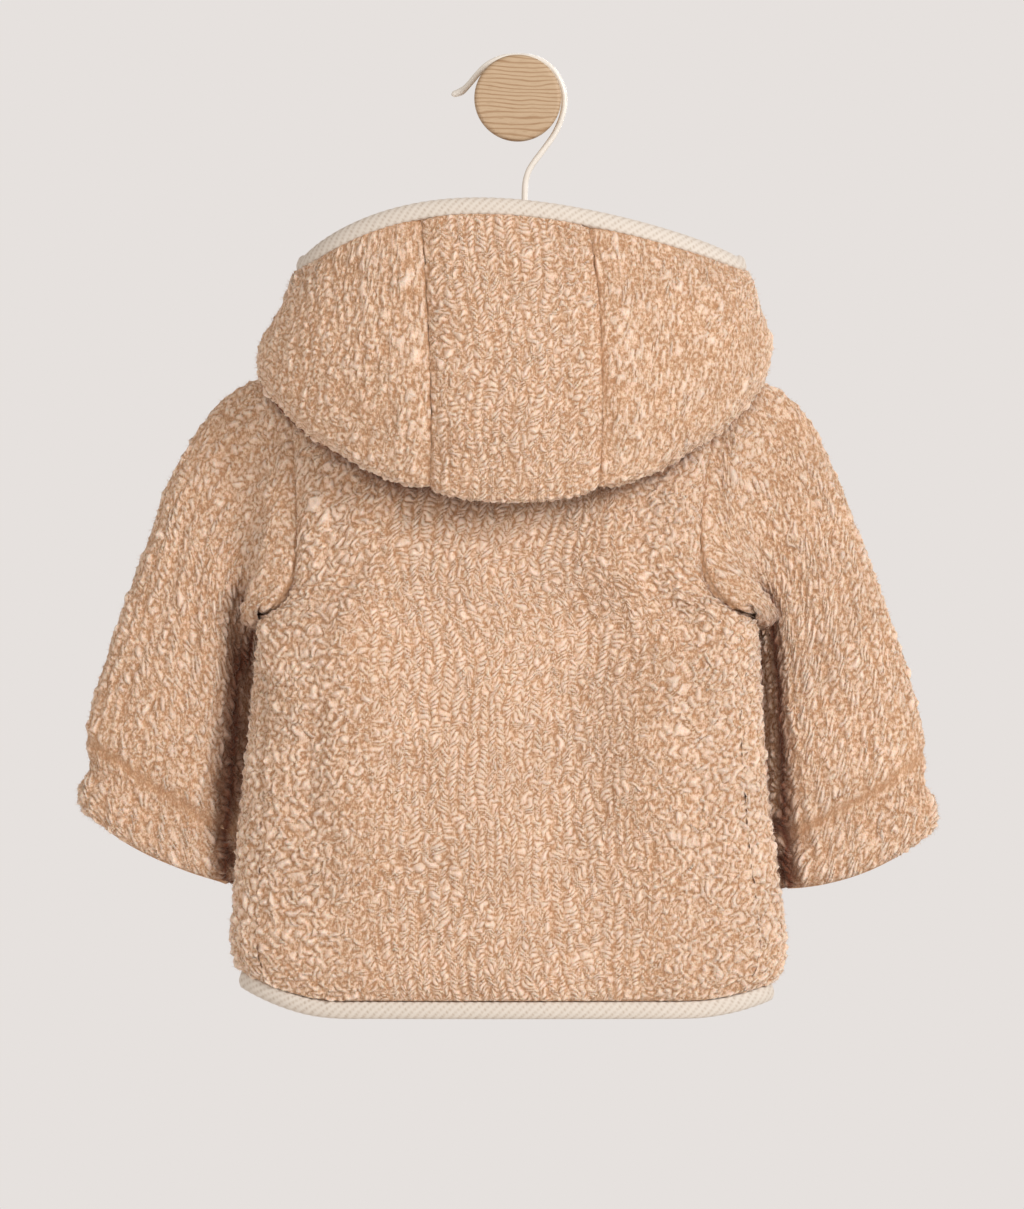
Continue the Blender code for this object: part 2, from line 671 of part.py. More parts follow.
def cloth(name, layers, collection, closed=False):
    """A panel or a tube of cloth from its outer and inner layers of points."""
    outer, inner = layers
    rows, columns = outer.shape[:2]
    points = np.concatenate([outer.reshape(-1, 3), inner.reshape(-1, 3)])
    index = np.arange(rows * columns).reshape(rows, columns)
    if closed:
        index = np.concatenate([index, index[:, :1]], axis=1)
    beneath = index + rows * columns
    faces = []
    for row in range(rows - 1):
        for column in range(index.shape[1] - 1):
            corners = ((row, column), (row, column + 1), (row + 1, column + 1), (row + 1, column))
            faces.append(tuple(int(index[spot]) for spot in corners))
            faces.append(tuple(int(beneath[spot]) for spot in corners[::-1]))
    for line, other in ((index[0], beneath[0]), (index[-1], beneath[-1])):
        faces += rim_faces(points, line.tolist(), other.tolist())
    if not closed:
        for line, other in ((index[:, 0], beneath[:, 0]), (index[:, -1], beneath[:, -1])):
            faces += rim_faces(points, line.tolist(), other.tolist())
    return place(name, closed_mesh(name, points, faces), collection, FLEECE_COLOUR, 0.95)


BAR_SECTION = (
    (1.0, 0.45), (0.6, 1.0), (-0.6, 1.0), (-1.0, 0.45),
    (-1.0, -0.45), (-0.6, -1.0), (0.6, -1.0), (1.0, -0.45),
)


def binding(name, outer, inner, away, collection):
    """A bound edge: a rounded bar along the cloth's border, on the side that away points to."""
    across = unit(outer - inner)
    along = unit(np.gradient(outer, axis=0))
    outward = unit(np.cross(across, along))
    outward = outward * np.sign(np.sum(outward * away, axis=1, keepdims=True))
    outward = outward * np.linalg.norm(away, axis=1, keepdims=True)
    middle = (outer + inner) / 2 + outward * (BINDING_GAP + BINDING_HEIGHT / 2)
    stations = [
        middle + across * (wide * BINDING_THICKNESS / 2) + outward * (tall * BINDING_HEIGHT / 2)
        for wide, tall in BAR_SECTION
    ]
    sides = len(BAR_SECTION)
    count = len(outer)
    points = np.stack(stations, axis=1).reshape(-1, 3)
    faces = [tuple(range(sides)), tuple(range((count - 1) * sides, count * sides))]
    for station in range(count - 1):
        for side in range(sides):
            here = station * sides + side
            beside = station * sides + (side + 1) % sides
            faces.append((here, beside, beside + sides, here + sides))
    return place(name, closed_mesh(name, points, faces), collection, BINDING_COLOUR, 0.8)


def hem_binding(back, left, right, collection):
    parts = []
    for layer in (0, 1):
        parts.append(
            np.concatenate([left[layer][0, ::-1], back[layer][0, 1:-1], right[layer][0]])
        )
    above = np.concatenate([left[0][1, ::-1], back[0][1, 1:-1], right[0][1]])
    return binding("hem_binding", parts[0], parts[1], unit(parts[0] - above), collection)


def front_binding(name, front, collection):
    """The bound free edge of a front, which runs on past the hem to close the corner."""
    outer = front[0][:, -1]
    inner = front[1][:, -1]
    away = unit(outer - front[0][:, -2])
    down = unit(outer[:1] - outer[1:2]) * (SEAM_GAP + BINDING_HEIGHT)
    outer = np.concatenate([outer[:1] + down, outer])
    inner = np.concatenate([inner[:1] + down, inner])
    return binding(name, outer, inner, np.concatenate([away[:1], away]), collection)


def hood_binding(hood, collection):
    """The bound face edge: up one front end of the hood, round its rim and down the other."""
    rises = (1, 4, 7)
    lines = []
    for layer in (0, 1):
        points = hood[layer]
        left = [points[0, 0] + 0.2 * (points[1, 0] - points[0, 0])] + [points[k, 0] for k in rises]
        right = [points[k, -1] for k in rises[::-1]]
        right.append(points[0, -1] + 0.2 * (points[1, -1] - points[0, -1]))
        lines.append(np.concatenate([left, points[-1], right]))
    outer = hood[0]
    up = unit(outer[-1] - outer[-2])
    ends = (unit(outer[:, 0] - outer[:, 1]), unit(outer[:, -1] - outer[:, -2]))
    up[0] = up[0] + ends[0][-1]
    up[-1] = up[-1] + ends[1][-1]
    left = [ends[0][0]] + [ends[0][k] for k in rises]
    right = [ends[1][k] for k in rises[::-1]] + [ends[1][0]]
    return binding("hood_binding", lines[0], lines[1], np.concatenate([left, up, right]), collection)


def turned(name, profile, sides, collection, location, tilt, colour, roughness):
    """A turned piece: its profile runs from the top of its axis down its outer side."""
    mesh = bpy.data.meshes.new(name)
    points = [(radius * MM, 0.0, height * MM) for radius, height in profile]
    edges = [(spot, spot + 1) for spot in range(len(points) - 1)]
    mesh.from_pydata(points, edges, [])
    item = place(name, mesh, collection, colour, roughness)
    item.location = [value * MM for value in location]
    item.rotation_euler = (tilt, 0.0, 0.0)
    screw = item.modifiers.new("Turn", "SCREW")
    screw.axis = "Z"
    screw.angle = 2 * math.pi
    screw.steps = sides
    screw.render_steps = sides
    screw.use_merge_vertices = True
    screw.merge_threshold = 0.00001
    screw.use_smooth_shade = True
    return item


def wire(name, route, radii, thickness, collection):
    """A bent wire of round section with flat ends."""
    data = bpy.data.curves.new(name, "CURVE")
    data.dimensions = "3D"
    data.bevel_depth = thickness * MM
    data.bevel_resolution = 2
    data.resolution_u = 1
    data.render_resolution_u = 1
    data.use_fill_caps = True
    data.twist_mode = "MINIMUM"
    spline = data.splines.new("POLY")
    spline.points.add(len(route) - 1)
    for point, place_at, radius in zip(spline.points, route, radii):
        point.co = (place_at[0] * MM, place_at[1] * MM, place_at[2] * MM, 1.0)
        point.radius = radius
    return place(name, data, collection, WIRE_COLOUR, 0.35)


def spaced(route, spacing):
    """Points along a smooth curve through a route, at an even spacing."""
    route = np.array(route, float)
    chords = np.linalg.norm(np.diff(route, axis=0), axis=1)
    lengths = np.concatenate([[0.0], np.cumsum(chords)])
    count = int(round(lengths[-1] / spacing)) + 1
    return smooth(lengths, route, np.linspace(0, lengths[-1], count))


def arm_height(across):
    """The middle of the hanger's arm, just under the inside of the shoulder."""
    ridge = float(ridge_height(across * (1 + WALL / SHOULDER_END)))
    return ridge - WALL - ARM_DROP - ARM_RADIUS


def hanger_arms(collection):
    slope = SHOULDER_DROP / (SHOULDER_END - NECK_HALF)
    peak = arm_height(NECK_HALF) + slope * (NECK_HALF - 14.0)
    route = []
    for side in (-1, 1):
        line = []
        for reach in (ARM_REACH, 105.0, NECK_HALF, 34.0, 14.0):
            height = arm_height(reach) if reach >= NECK_HALF else peak - slope * (reach - 14.0)
            line.append((CENTRE_X + side * reach, CENTRE_Y, height))
        route += line if side < 0 else line[::-1]
    route.insert(5, (HANGER_X, CENTRE_Y, peak + 2.2))
    points = spaced(route, 10.0)
    wire("hanger_arms", points, [1.0] * len(points), ARM_RADIUS, collection)
    return peak + 2.2


def hanger_hook(arm_top, collection):
    foot = arm_top + ARM_RADIUS + SEAM_GAP
    route = [(x, CENTRE_Y, z) for x, z in HOOK_ROUTE] + [(HANGER_X, CENTRE_Y, foot)]
    points = spaced(route, 6.5)
    radii = [0.75, 1.25] + [1.0] * (len(points) - 2)
    wire("hanger_hook", points, radii, WIRE_RADIUS, collection)


def wall_knob(collection):
    outline = [(radius, height) for height, radius in KNOB_PROFILE]
    profile = [(0.0, outline[-1][1])] + outline[::-1] + [(0.0, 0.0)]
    turned(
        "wall_knob", profile, KNOB_SIDES, collection, (0, 0, 0), math.pi / 2, WOOD_COLOUR, 0.6
    )


def studs(collection):
    """Press-stud caps down the front that laps over, just clear of the pile."""
    profile = (
        (0.0, STUD_HEIGHT),
        (STUD_RADIUS * 0.55, STUD_HEIGHT * 0.88),
        (STUD_RADIUS * 0.88, STUD_HEIGHT * 0.55),
        (STUD_RADIUS, 0.4),
        (STUD_RADIUS * 0.96, 0.0),
        (0.0, 0.0),
    )
    for number, height in enumerate(STUD_HEIGHTS, start=1):
        seat = body_point(front_turn(-1, 1.0, height), height)
        location = (seat[0], seat[1] + SEAM_GAP, height)
        turned(
            f"stud_{number}", profile, STUD_SIDES, collection, location, -math.pi / 2,
            STUD_COLOUR, 0.35,
        )


def main():
    clear_scene()
    collection = bpy.data.collections.new(OBJECT_NAME)
    bpy.context.scene.collection.children.link(collection)

    back = back_layers()
    left = front_layers(-1)
    right = front_layers(1)
    hood = hood_layers(back, left, right)
    whole = ("left", "right", "bottom", "top")
    cloth("back", trimmed(back, whole), collection)
    cloth("front_left", trimmed(left, whole), collection)
    cloth("front_right", trimmed(right, whole), collection)
    for side, name in ((-1, "sleeve_left"), (1, "sleeve_right")):
        outer, inner = sleeve_layers(side)
        step = unit(outer[1] - outer[0]) * SEAM_GAP / 2
        outer[0] += step
        inner[0] += step
        cloth(name, (outer, inner), collection, closed=True)

    seams = (HOOD_SIDE_STEPS, HOOD_SIDE_STEPS + HOOD_STRIP_STEPS)
    pieces = (
        ("hood_left", 0, seams[0]),
        ("hood_centre", seams[0], seams[1]),
        ("hood_right", seams[1], hood[0].shape[1] - 1),
    )
    for name, first, last in pieces:
        columns = [layer[:, first : last + 1] for layer in hood]
        cloth(name, trimmed(columns, whole), collection)

    hem_binding(back, left, right, collection)
    front_binding("front_binding_left", left, collection)
    front_binding("front_binding_right", right, collection)
    hood_binding(hood, collection)
    studs(collection)
    arm_top = hanger_arms(collection)
    hanger_hook(arm_top, collection)
    wall_knob(collection)


main()
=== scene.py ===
"""Pile, bindings, studs, wire and turned wood for a hooded teddy-fleece jacket on its hanger.

Left and right are as seen from the jacket's back. Sizes in tables are in millimetres.
"""

import math
from functools import cache

import bpy
import numpy as np
from bpy.props import FloatProperty, FloatVectorProperty, PointerProperty
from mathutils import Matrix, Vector
from mathutils.bvhtree import BVHTree


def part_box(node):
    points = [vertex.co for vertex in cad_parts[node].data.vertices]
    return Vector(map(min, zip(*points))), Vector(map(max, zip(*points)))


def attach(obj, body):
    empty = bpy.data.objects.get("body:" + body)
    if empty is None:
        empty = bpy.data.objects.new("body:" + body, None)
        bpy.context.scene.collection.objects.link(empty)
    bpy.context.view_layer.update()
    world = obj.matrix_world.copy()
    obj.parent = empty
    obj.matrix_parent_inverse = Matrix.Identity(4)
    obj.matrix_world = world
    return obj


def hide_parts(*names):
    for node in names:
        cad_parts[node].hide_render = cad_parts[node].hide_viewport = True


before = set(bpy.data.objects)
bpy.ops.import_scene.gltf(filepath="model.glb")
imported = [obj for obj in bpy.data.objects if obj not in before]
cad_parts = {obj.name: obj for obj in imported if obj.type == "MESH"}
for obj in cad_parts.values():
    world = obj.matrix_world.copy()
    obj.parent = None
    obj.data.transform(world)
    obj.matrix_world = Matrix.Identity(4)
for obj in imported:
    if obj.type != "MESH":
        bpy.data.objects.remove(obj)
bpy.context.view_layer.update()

bl_info = {
    "name": "Teddy fleece jacket",
    "version": (1, 0, 0),
    "blender": (4, 5, 0),
    "location": "3D View > Sidebar > Fleece jacket",
    "description": "Covers a plain jacket with pile, ribbed bindings, studs, wire and wood",
    "category": "Object",
}

ROOT = "root"
MM = 0.001


def linear(colour):
    """An sRGB hex colour as linear red, green, blue and full alpha."""
    channels = [int(colour[place : place + 2], 16) / 255 for place in (0, 2, 4)]
    return tuple(
        value / 12.92 if value <= 0.04045 else ((value + 0.055) / 1.055) ** 2.4
        for value in channels
    ) + (1.0,)


# What a user would change.


def length_property(name, description, millimetres):
    return FloatProperty(
        name=name, description=description, default=millimetres * MM, unit="LENGTH", precision=4
    )


def colour_property(name, description, colour):
    return FloatVectorProperty(
        name=name, description=description, default=linear(colour), size=4, subtype="COLOR",
        min=0.0, max=1.0,
    )


class PileSettings(bpy.types.PropertyGroup):
    """Locks of pile on their knitted backing."""

    pile: length_property("Pile", "How far the pile stands up from the backing", 3.2)
    wale: length_property("Column spacing", "Width of one slanting column of locks", 5.6)
    course: length_property("Row spacing", "Distance between locks down a column", 2.9)
    fibre: length_property("Loose fibre", "Length of the fibres that stand out of the pile", 3.4)
    tip: colour_property("Tips", "Colour of the locks' tops", "F2DBC9")
    middle: colour_property("Middle", "Colour of the locks' sides", "E0BFA3")
    # Painted shade: the pile's creases and its ground take this colour; the backing's mottling uses
    # it too.
    root: colour_property("Crease shade and mottling", "Colour down between the locks", "B68964")
    # Painted shade: the tint laid on pile where nearby cloth shuts it in.
    deep: colour_property("Shut in", "Tint of pile that nearby cloth shuts in", "7C4C30")
    backing: colour_property("Backing", "Colour of the plain knitted inside", "DCC1A8")


class TrimSettings(bpy.types.PropertyGroup):
    """Ribbed bindings and press studs."""

    rib_pitch: length_property("Rib spacing", "Distance between ribs along the binding", 5.0)
    rib_depth: length_property("Rib depth", "How deep the grooves between ribs are", 0.55)
    binding: colour_property("Binding", "Colour of the ribs", "DFD8CF")
    groove: colour_property("Grooves", "Colour between the ribs", "C2B4A5")
    stud: colour_property("Studs", "Colour of the moulded studs", "EDE6DB")


class HangerSettings(bpy.types.PropertyGroup):
    """Wire hanger and the wall knob that holds it."""

    wire: colour_property("Wire", "Colour of the coated wire", "F4F1EA")
    light_wood: colour_property("Light wood", "Colour of the early wood", "C2A98B")
    dark_wood: colour_property("Dark wood", "Colour of the late wood", "9D7A57")
    ring: length_property("Growth rings", "Distance between growth rings", 2.6)


class StageSettings(bpy.types.PropertyGroup):
    """Floor, air and light."""

    floor: colour_property("Floor", "Colour of the floor", "E2DEDA")
    air: colour_property("Surroundings", "Colour of the surroundings", "E6E1DE")
    key: FloatProperty(name="Key light", description="Power of the soft key light", default=48.0,
                       unit="POWER", min=0.0)
    ambient: FloatProperty(name="Ambient", description="Share of the surroundings' light",
                           default=0.52, min=0.0)


# Cloth: knitted backing with its pile, and the small clearances between sewn pieces.
WALL = 7.0
SEAM_GAP = 0.34
BINDING_HEIGHT = 8.4
BINDING_THICKNESS = 6.4
BINDING_GAP = 0.65

# The jacket's centre line hangs a little to the left of the knob, and its side seams lie in
# the plane CENTRE_Y between the back and the fronts.
CENTRE_X = -5.4
CENTRE_Y = -46.0
SECTION_POWER = 2.6

# Body, one row for each level: half widths to the outline and to the side seam, and depths.
BODY_COLUMNS = ("height", "left_edge", "right_edge", "left_seam", "right_seam", "back", "front")
BODY_ROWS = (
    (-526, 139, 145, 124, 131, 28, 26),
    (-517, 149, 152, 136, 138, 32, 29),
    (-508, 156, 158.5, 142, 143, 34, 31),
    (-495, 161, 161.5, 146, 146, 35, 32),
    (-470, 160.5, 160, 145, 145, 35, 33),
    (-440, 159, 156, 144, 141, 35, 34),
    (-408, 156, 152, 142, 138, 35, 34),
    (-375, 152, 149.6, 140, 136, 35, 34),
    (-345, 149.5, 147.7, 139, 136, 35, 34),
    (-320, 147, 146.7, 143, 142, 35, 34),
    (-300, 144.6, 144.8, 144.6, 144.8, 34, 34),
    (-262, 143.6, 137, 143.6, 137, 34, 34),
    (-220, 143.4, 132, 143.4, 132, 34, 34),
    (-140, 148, 142, 148, 142, 34, 34),
)

# Shoulders, neck and armholes.
NECK_HALF = 62.0
NECK_TOP = -143.0
BACK_NECK_DIP = 12.0
FRONT_NECK_DIP = 42.0
SHOULDER_END = 130.0
SHOULDER_DROP = 17.0
SHOULDER_ROUND = 28.0
UNDERARM = -300.0
ARMHOLE_BEND = -262.0
ARMHOLE_LEVELS = (-238, -216, -198, -185, -174, -166.5, -162)
ARMHOLE_BACK = {-1: 124.0, 1: 113.0}
ARMHOLE_FRONT = {-1: 122.0, 1: 118.0}
ARMHOLE_CURVE_STEPS = 4

# Hem and front edges. The left front laps over the right one, which is tucked behind it.
SIDE_LEVELS = (-508, -495, -470, -440, -408, -375, -345, -320)
HEM_TURN_FROM = 40
HEM_TURN_RUN = 50
BACK_HEM = -524.0
LEFT_HEM = -507.0
RIGHT_HEM = -514.0
FRONT_HEM = -514.0
FRONT_LAP = 7.0
EDGE_WAVE = 0.8
EDGE_BENDS = 3
EDGE_EVEN = 0.35
LAP_TUCK = 9.6
LAP_TUCK_FROM = 52.0
LAP_TUCK_FULL = 18.0
LAP_COLUMNS = (48.0, 17.0)
SHOULDER_STEPS = 4
BACK_NECK_STEPS = 10
FRONT_NECK_STEPS = 6

# Soft folds of the back: middle across and up, half length, half width, depth into the cloth
# and lean in degrees.
BACK_FOLDS = (
    (-97, -262, 52, 13, 3.0, 8),
    (-112, -392, 80, 15, 2.2, 2),
    (-42, -330, 95, 24, 1.8, -3),
    (2, -440, 90, 30, -1.6, 0),
    (48, -318, 85, 22, 2.0, 4),
    (89, -270, 55, 14, 3.0, -9),
    (113, -405, 75, 15, 2.4, -3),
    (-66, -478, 45, 22, 1.6, 6),
    (64, -470, 50, 22, 1.8, -5),
)

# Sleeves, one row for each ring from the armhole to the cuff: the ring's outer and inner ends
# in the plane of the jacket, its back and front, how far its faces bow in, its wall, and how
# far its middle bows down towards the cuff.
SLEEVE_COLUMNS = (
    "out", "out_z", "in", "in_z", "back", "front", "bow_back", "bow_front", "wall", "bow_down",
)
SLEEVE_ROWS = {
    -1: (
        (143, -161, 149, -301, -61, -20, 6, 4, 7, 0),
        (156, -165.5, 152, -305, -53, -15.5, 7, 3, 7, 0),
        (170, -177, 152, -311, -47.5, -11.5, 5, 2, 7, 0),
        (184.5, -196, 151, -321, -46.5, -9, 2, 0, 7, 0),
        (199, -221, 149, -335, -46.5, -8, 0, 0, 7, 0),
        (208.5, -249, 147.5, -352, -46.5, -8, 0, 0, 7, 0),
        (218.5, -277, 147.5, -371, -46, -8, 0, 0, 7, 0),
        (230.5, -309, 149.5, -391, -46, -8, 0, 0, 7, 0),
        (240.5, -341, 151.5, -409, -46, -8, 0, 0, 7, 1),
        (247.5, -370, 153, -421.5, -46, -8, 0, 0, 7, 2),
        (247, -390, 156, -430.5, -44, -10, 0, 0, 8, 3),
        (251, -400, 155.5, -441, -46.5, -8, 0, 0, 10, 4),
        (249.5, -413.5, 157.5, -454, -46, -8.5, 0, 0, 10, 5),
    ),
    1: (
        (144, -163, 149, -301, -61, -20, 17, 5, 7, 0),
        (158, -168, 152, -305, -53, -15.5, 17, 4, 7, 0),
        (172, -180, 152, -311, -47.5, -11.5, 13, 3, 7, 0),
        (185, -203, 151, -321, -46.5, -9, 6, 0, 7, 0),
        (197, -230, 149, -335, -46.5, -8, 2, 0, 7, 0),
        (207, -256, 147.5, -352, -46.5, -8, 0, 0, 7, 0),
        (217, -283, 146.5, -371, -46, -8, 0, 0, 7, 0),
        (227, -311, 147, -391, -46, -8, 0, 0, 7, 1),
        (236.5, -343, 148, -410, -46, -8, 0, 0, 7, 2.5),
        (244, -376, 150, -424, -46, -8, 0, 0, 7, 4),
        (246, -399, 153.5, -434, -44, -10, 0, 0, 8, 5.5),
        (250.5, -409, 153, -444, -46.5, -8, 0, 0, 10, 6.5),
        (250, -423, 156, -457, -46, -8.5, 0, 0, 10, 7.5),
    ),
}
SLEEVE_POWER = 2.3
SLEEVE_HEART = 18.0
SEAM_RISE = 2.0
SEAM_RUN = 5.0
LIP_LENGTH = 3.2
LIP_ROUND = 2.4

# Hood, one row for each ring from the neck seam down between the hood and the back, round the
# bottom of the pouch and up its outer side to the face edge.
HOOD_COLUMNS = (
    "half_width", "centre", "back", "front", "z_back", "z_side", "z_front", "strip", "pinch",
    "lean", "drop",
)
HOOD_ROWS = (
    (65, 0, -77, -12, -147, -134, -178, 38, 1.0, 0, 1.6),
    (79, 1, -84, -11.5, -156, -138.5, -173, 40, 1.3, 0, 1.6),
    (108, 2, -84.5, -11, -184, -148, -168, 43, 1.7, 0, 1.5),
    (136, 2, -86.5, -10.5, -216, -153.5, -163, 46, 2.0, 0, 1.4),
    (151, 2.5, -97, -10, -235, -154, -160, 49, 2.2, 0, 1.3),
    (152.5, 3.5, -113, -10, -235, -144, -157.5, 50, 2.2, 0, 1.4),
    (147, 5.5, -123, -10, -208, -131, -155, 50, 2.2, 1, 1.6),
    (140, 7, -126, -10, -164, -119, -152.5, 50, 2.2, 3, 1.8),
    (136, 7.5, -120, -10, -115, -108, -150, 50, 2.2, 6, 1.9),
    (131.5, 7.5, -110, -10, -68, -99, -148, 49, 2.2, 11, 2.1),
)
HOOD_STRIP_STEPS = 8
HOOD_SIDE_STEPS = 14
HOOD_TIP = 0.55
HOOD_FRONT_POWER = 1.5
HOOD_END = 14.0
STRIP_AT_NECK = 37.0
HOOD_REST = 4.2
SHOULDER_THICK = 20.0
HOOD_RISE_FROM = 84.0
HOOD_RISE_FULL = 130.0
HOOD_RISE_LIFT = 10.0
HUMP_TOP = 4 / 27  # The most that x * (1 - x) ** 2 reaches.
HOOD_TUCK_FROM = 80.0

# Press studs on the front that laps over: how many, and the cap's radii and heights.
STUDS = 4
STUD_SIDES = 48
STUD_PROFILE = (
    (0.05, 1.75), (2.2, 1.7), (2.9, 1.85), (3.6, 2.3), (4.4, 2.5), (5.3, 2.2), (6.0, 1.4),
    (6.4, 0.5), (6.4, 0.1), (6.1, 0.0), (0.05, 0.0),
)

# Hanger: radii, sides, and the spacing of knots and of rings on the arms and on the hook. The
# hook's route is x and z from the middle of the knob; the arms' stations are how far out.
WIRE_RADIUS = 1.75
ARM_RADIUS = 2.0
WIRE_SIDES = 20
ARM_KNOTS = 10.0
ARM_STEP = 2.0
HOOK_KNOTS = 6.5
HOOK_STEP = 1.2
HOOK_ROUTE = (
    (-38.5, 2.4), (-35.4, 3.4), (-32.3, 4.8), (-28.1, 8.9), (-23.3, 14.6), (-18.4, 19.4),
    (-13.6, 22.3), (-7.2, 24.4), (0.0, 24.9), (7.2, 24.4), (13.8, 22.2), (19.7, 17.8),
    (24.2, 11.2), (26.7, 3.9), (27.0, -2.8), (25.5, -10.6), (21.4, -20.0), (15.2, -29.0),
    (9.2, -37.0), (5.6, -43.4), (4.3, -49.5), (4.0, -58.6), (4.0, -80.0), (4.0, -105.0),
)
ARM_REACH = 121.0
ARM_STATIONS = (ARM_REACH, 105.0, NECK_HALF, 34.0, 14.0)
ARM_CREST = 2.2
ARM_DROP = 1.6
HANGER_X = 4.0

# The vinyl's drip near the hook's tip: distance from the tip, half length and share thicker.
TIP_BULGE = (5.5, 3.2, 0.25)

# Wall knob, turned: its profile is distance from the wall and radius, from the wall to its
# face. The face starts a little inside the head, whose rounded points are spaced closely.
KNOB_SIDES = 96
KNOB_CORE = 0.05
KNOB_FACE_INSET = 1.2
KNOB_HEAD_POINTS = 4
KNOB_SPACING = 0.35
KNOB_PROFILE = (
    (0.0, 21.5), (1.2, 22.4), (50.5, 22.4), (52.0, 22.9), (53.6, 24.4), (55.2, 25.0),
    (60.6, 25.0), (61.8, 24.5), (62.5, 23.4),
)


def table(columns, rows):
    """The rows of a table as one array for each named column."""
    return dict(zip(columns, np.array(rows, float).T))


BODY = table(BODY_COLUMNS, BODY_ROWS)


def cubic(start, end, slope, next_slope, part, span):
    """A cubic curve between two values with given slopes, at a share of the span."""
    start = (1 + 2 * part) * (1 - part) ** 2 * start
    end = part**2 * (3 - 2 * part) * end
    return start + end + part * (1 - part) * span * ((1 - part) * slope - part * next_slope)


def smooth(knots, values, at):
    """A cubic curve through the values, with the slope at each knot taken from its neighbours."""
    knots, values = np.asarray(knots, float), np.asarray(values, float)
    slopes = np.gradient(values, knots, axis=0)
    at = np.clip(np.asarray(at, float), knots[0], knots[-1])
    left = np.clip(np.searchsorted(knots, at) - 1, 0, len(knots) - 2)
    span = knots[left + 1] - knots[left]
    shape = span.shape + (1,) * (values.ndim - 1)
    part = ((at - knots[left]) / span).reshape(shape)
    ahead = left + 1
    return cubic(
        values[left], values[ahead], slopes[left], slopes[ahead], part, span.reshape(shape)
    )


def measured(column, height):
    """The body's measure in this column of its table, at these heights."""
    return smooth(BODY["height"], BODY[column], height)


def unit(vectors):
    length = np.linalg.norm(vectors, axis=-1, keepdims=True)
    return vectors / np.maximum(length, 1e-9)


def signed_power(value, power):
    """The power of the size of a value, with the value's sign."""
    return np.sign(value) * np.abs(value) ** power


def ease(value):
    """0 to 1, with a soft start and a soft end."""
    value = np.clip(value, 0.0, 1.0)
    return value * value * (3 - 2 * value)


# Body surface. A turn of 0 is the centre back, -90 the left edge, 90 the right edge and 180
# or -180 the centre front.


def half_width(turn, height):
    """From the centre line to the outline on the turn's side."""
    left, right = (measured(name, height) for name in ("left_edge", "right_edge"))
    return np.where(np.sin(np.radians(turn)) < 0, left, right)


def turn_at(across, height, on_front=False):
    """The turn at which the body's surface is this far across from its centre line."""
    width = half_width(np.sign(across) * 90, height)
    share = np.clip(np.abs(across) / width, 0.0, 1.0)
    turn = np.degrees(np.arcsin(share ** (SECTION_POWER / 2)))
    if on_front:
        turn = 180 - turn
    return np.sign(across) * turn


def ridge_height(across):
    """The top of the shoulder at this distance across."""
    beyond = np.maximum(np.abs(across) - NECK_HALF, 0.0)
    return NECK_TOP - SHOULDER_DROP * beyond / (SHOULDER_END - NECK_HALF)


def fold_depth(across, height):
    """How far the soft folds press the back panel in."""
    total = np.zeros(np.broadcast(across, height).shape)
    for middle, level, long, wide, depth, lean in BACK_FOLDS:
        up = height - level
        aside = across - middle - up * math.tan(math.radians(lean))
        total += depth * np.exp(-((up / long) ** 2) - (aside / wide) ** 2)
    return total


def body_point(turn, height, inward=0.0, tucked=False):
    """A point of the body's outer surface, or of its inner one a wall's thickness inward."""
    turn = np.asarray(turn, float)
    height = np.asarray(height, float)
    power = 2 / SECTION_POWER
    across_share = signed_power(np.sin(np.radians(turn)), power)
    depth_share = signed_power(np.cos(np.radians(turn)), power)
    width = half_width(turn, height)
    below = ridge_height(width * across_share) - height
    upright = np.clip(1 - below / SHOULDER_ROUND, 0.0, 1.0)
    depth = np.where(depth_share > 0, measured("back", height), measured("front", height))
    across = (width - inward) * across_share
    y = CENTRE_Y - (depth - inward) * depth_share * np.sqrt(1 - upright**2)
    y = y + np.where(depth_share > 0, fold_depth(across, height) * (1 - upright), 0.0)
    if tucked:
        y = y - LAP_TUCK * ease((LAP_TUCK_FROM - across) / (LAP_TUCK_FROM - LAP_TUCK_FULL)) * (
            depth_share < 0
        )
    return np.stack([CENTRE_X + across, y, height - inward * upright], axis=-1)


# Seam lines of the body, as (turn, height) pairs.


def hem_height(turn):
    side_hem = np.where(np.sin(np.radians(turn)) < 0, LEFT_HEM, RIGHT_HEM)
    up_to_side = (side_hem - BACK_HEM) * ease((np.abs(turn) - HEM_TURN_FROM) / HEM_TURN_RUN)
    down_to_front = (FRONT_HEM - side_hem) * ease((np.abs(turn) - 90) / HEM_TURN_RUN)
    return BACK_HEM + up_to_side + down_to_front


def side_seam(side):
    """From the hem up to the underarm."""
    name = "left_seam" if side < 0 else "right_seam"
    heights = np.array((BACK_HEM,) + SIDE_LEVELS, float)
    turns = turn_at(side * measured(name, heights), heights)
    heights[0] = hem_height(turns[0])
    return list(zip(turns, heights)) + [(side * 90.0, UNDERARM)]


def armhole(side, on_front):
    """From the underarm up to the end of the shoulder."""
    seam = (ARMHOLE_FRONT if on_front else ARMHOLE_BACK)[side]
    edge = float(half_width(side * 90, UNDERARM))
    line = []
    for step in range(1, ARMHOLE_CURVE_STEPS + 1):
        angle = math.pi / 2 * step / ARMHOLE_CURVE_STEPS
        height = UNDERARM + (ARMHOLE_BEND - UNDERARM) * (1 - math.cos(angle))
        across = edge - (edge - seam) * math.sin(angle)
        line.append((float(turn_at(side * across, height, on_front)), height))
    top = NECK_TOP - SHOULDER_DROP
    for height in ARMHOLE_LEVELS + (top,):
        risen = (height - ARMHOLE_BEND) / (top - ARMHOLE_BEND)
        across = seam + (SHOULDER_END - seam) * risen**2
        line.append((float(turn_at(side * across, height, on_front)), float(height)))
    return line


def shoulder_line(side, on_front):
    """From the end of the shoulder in to the neck."""
    across = np.linspace(SHOULDER_END, NECK_HALF, SHOULDER_STEPS + 1)
    heights = ridge_height(across)
    return list(zip(turn_at(side * across, heights, on_front), heights))


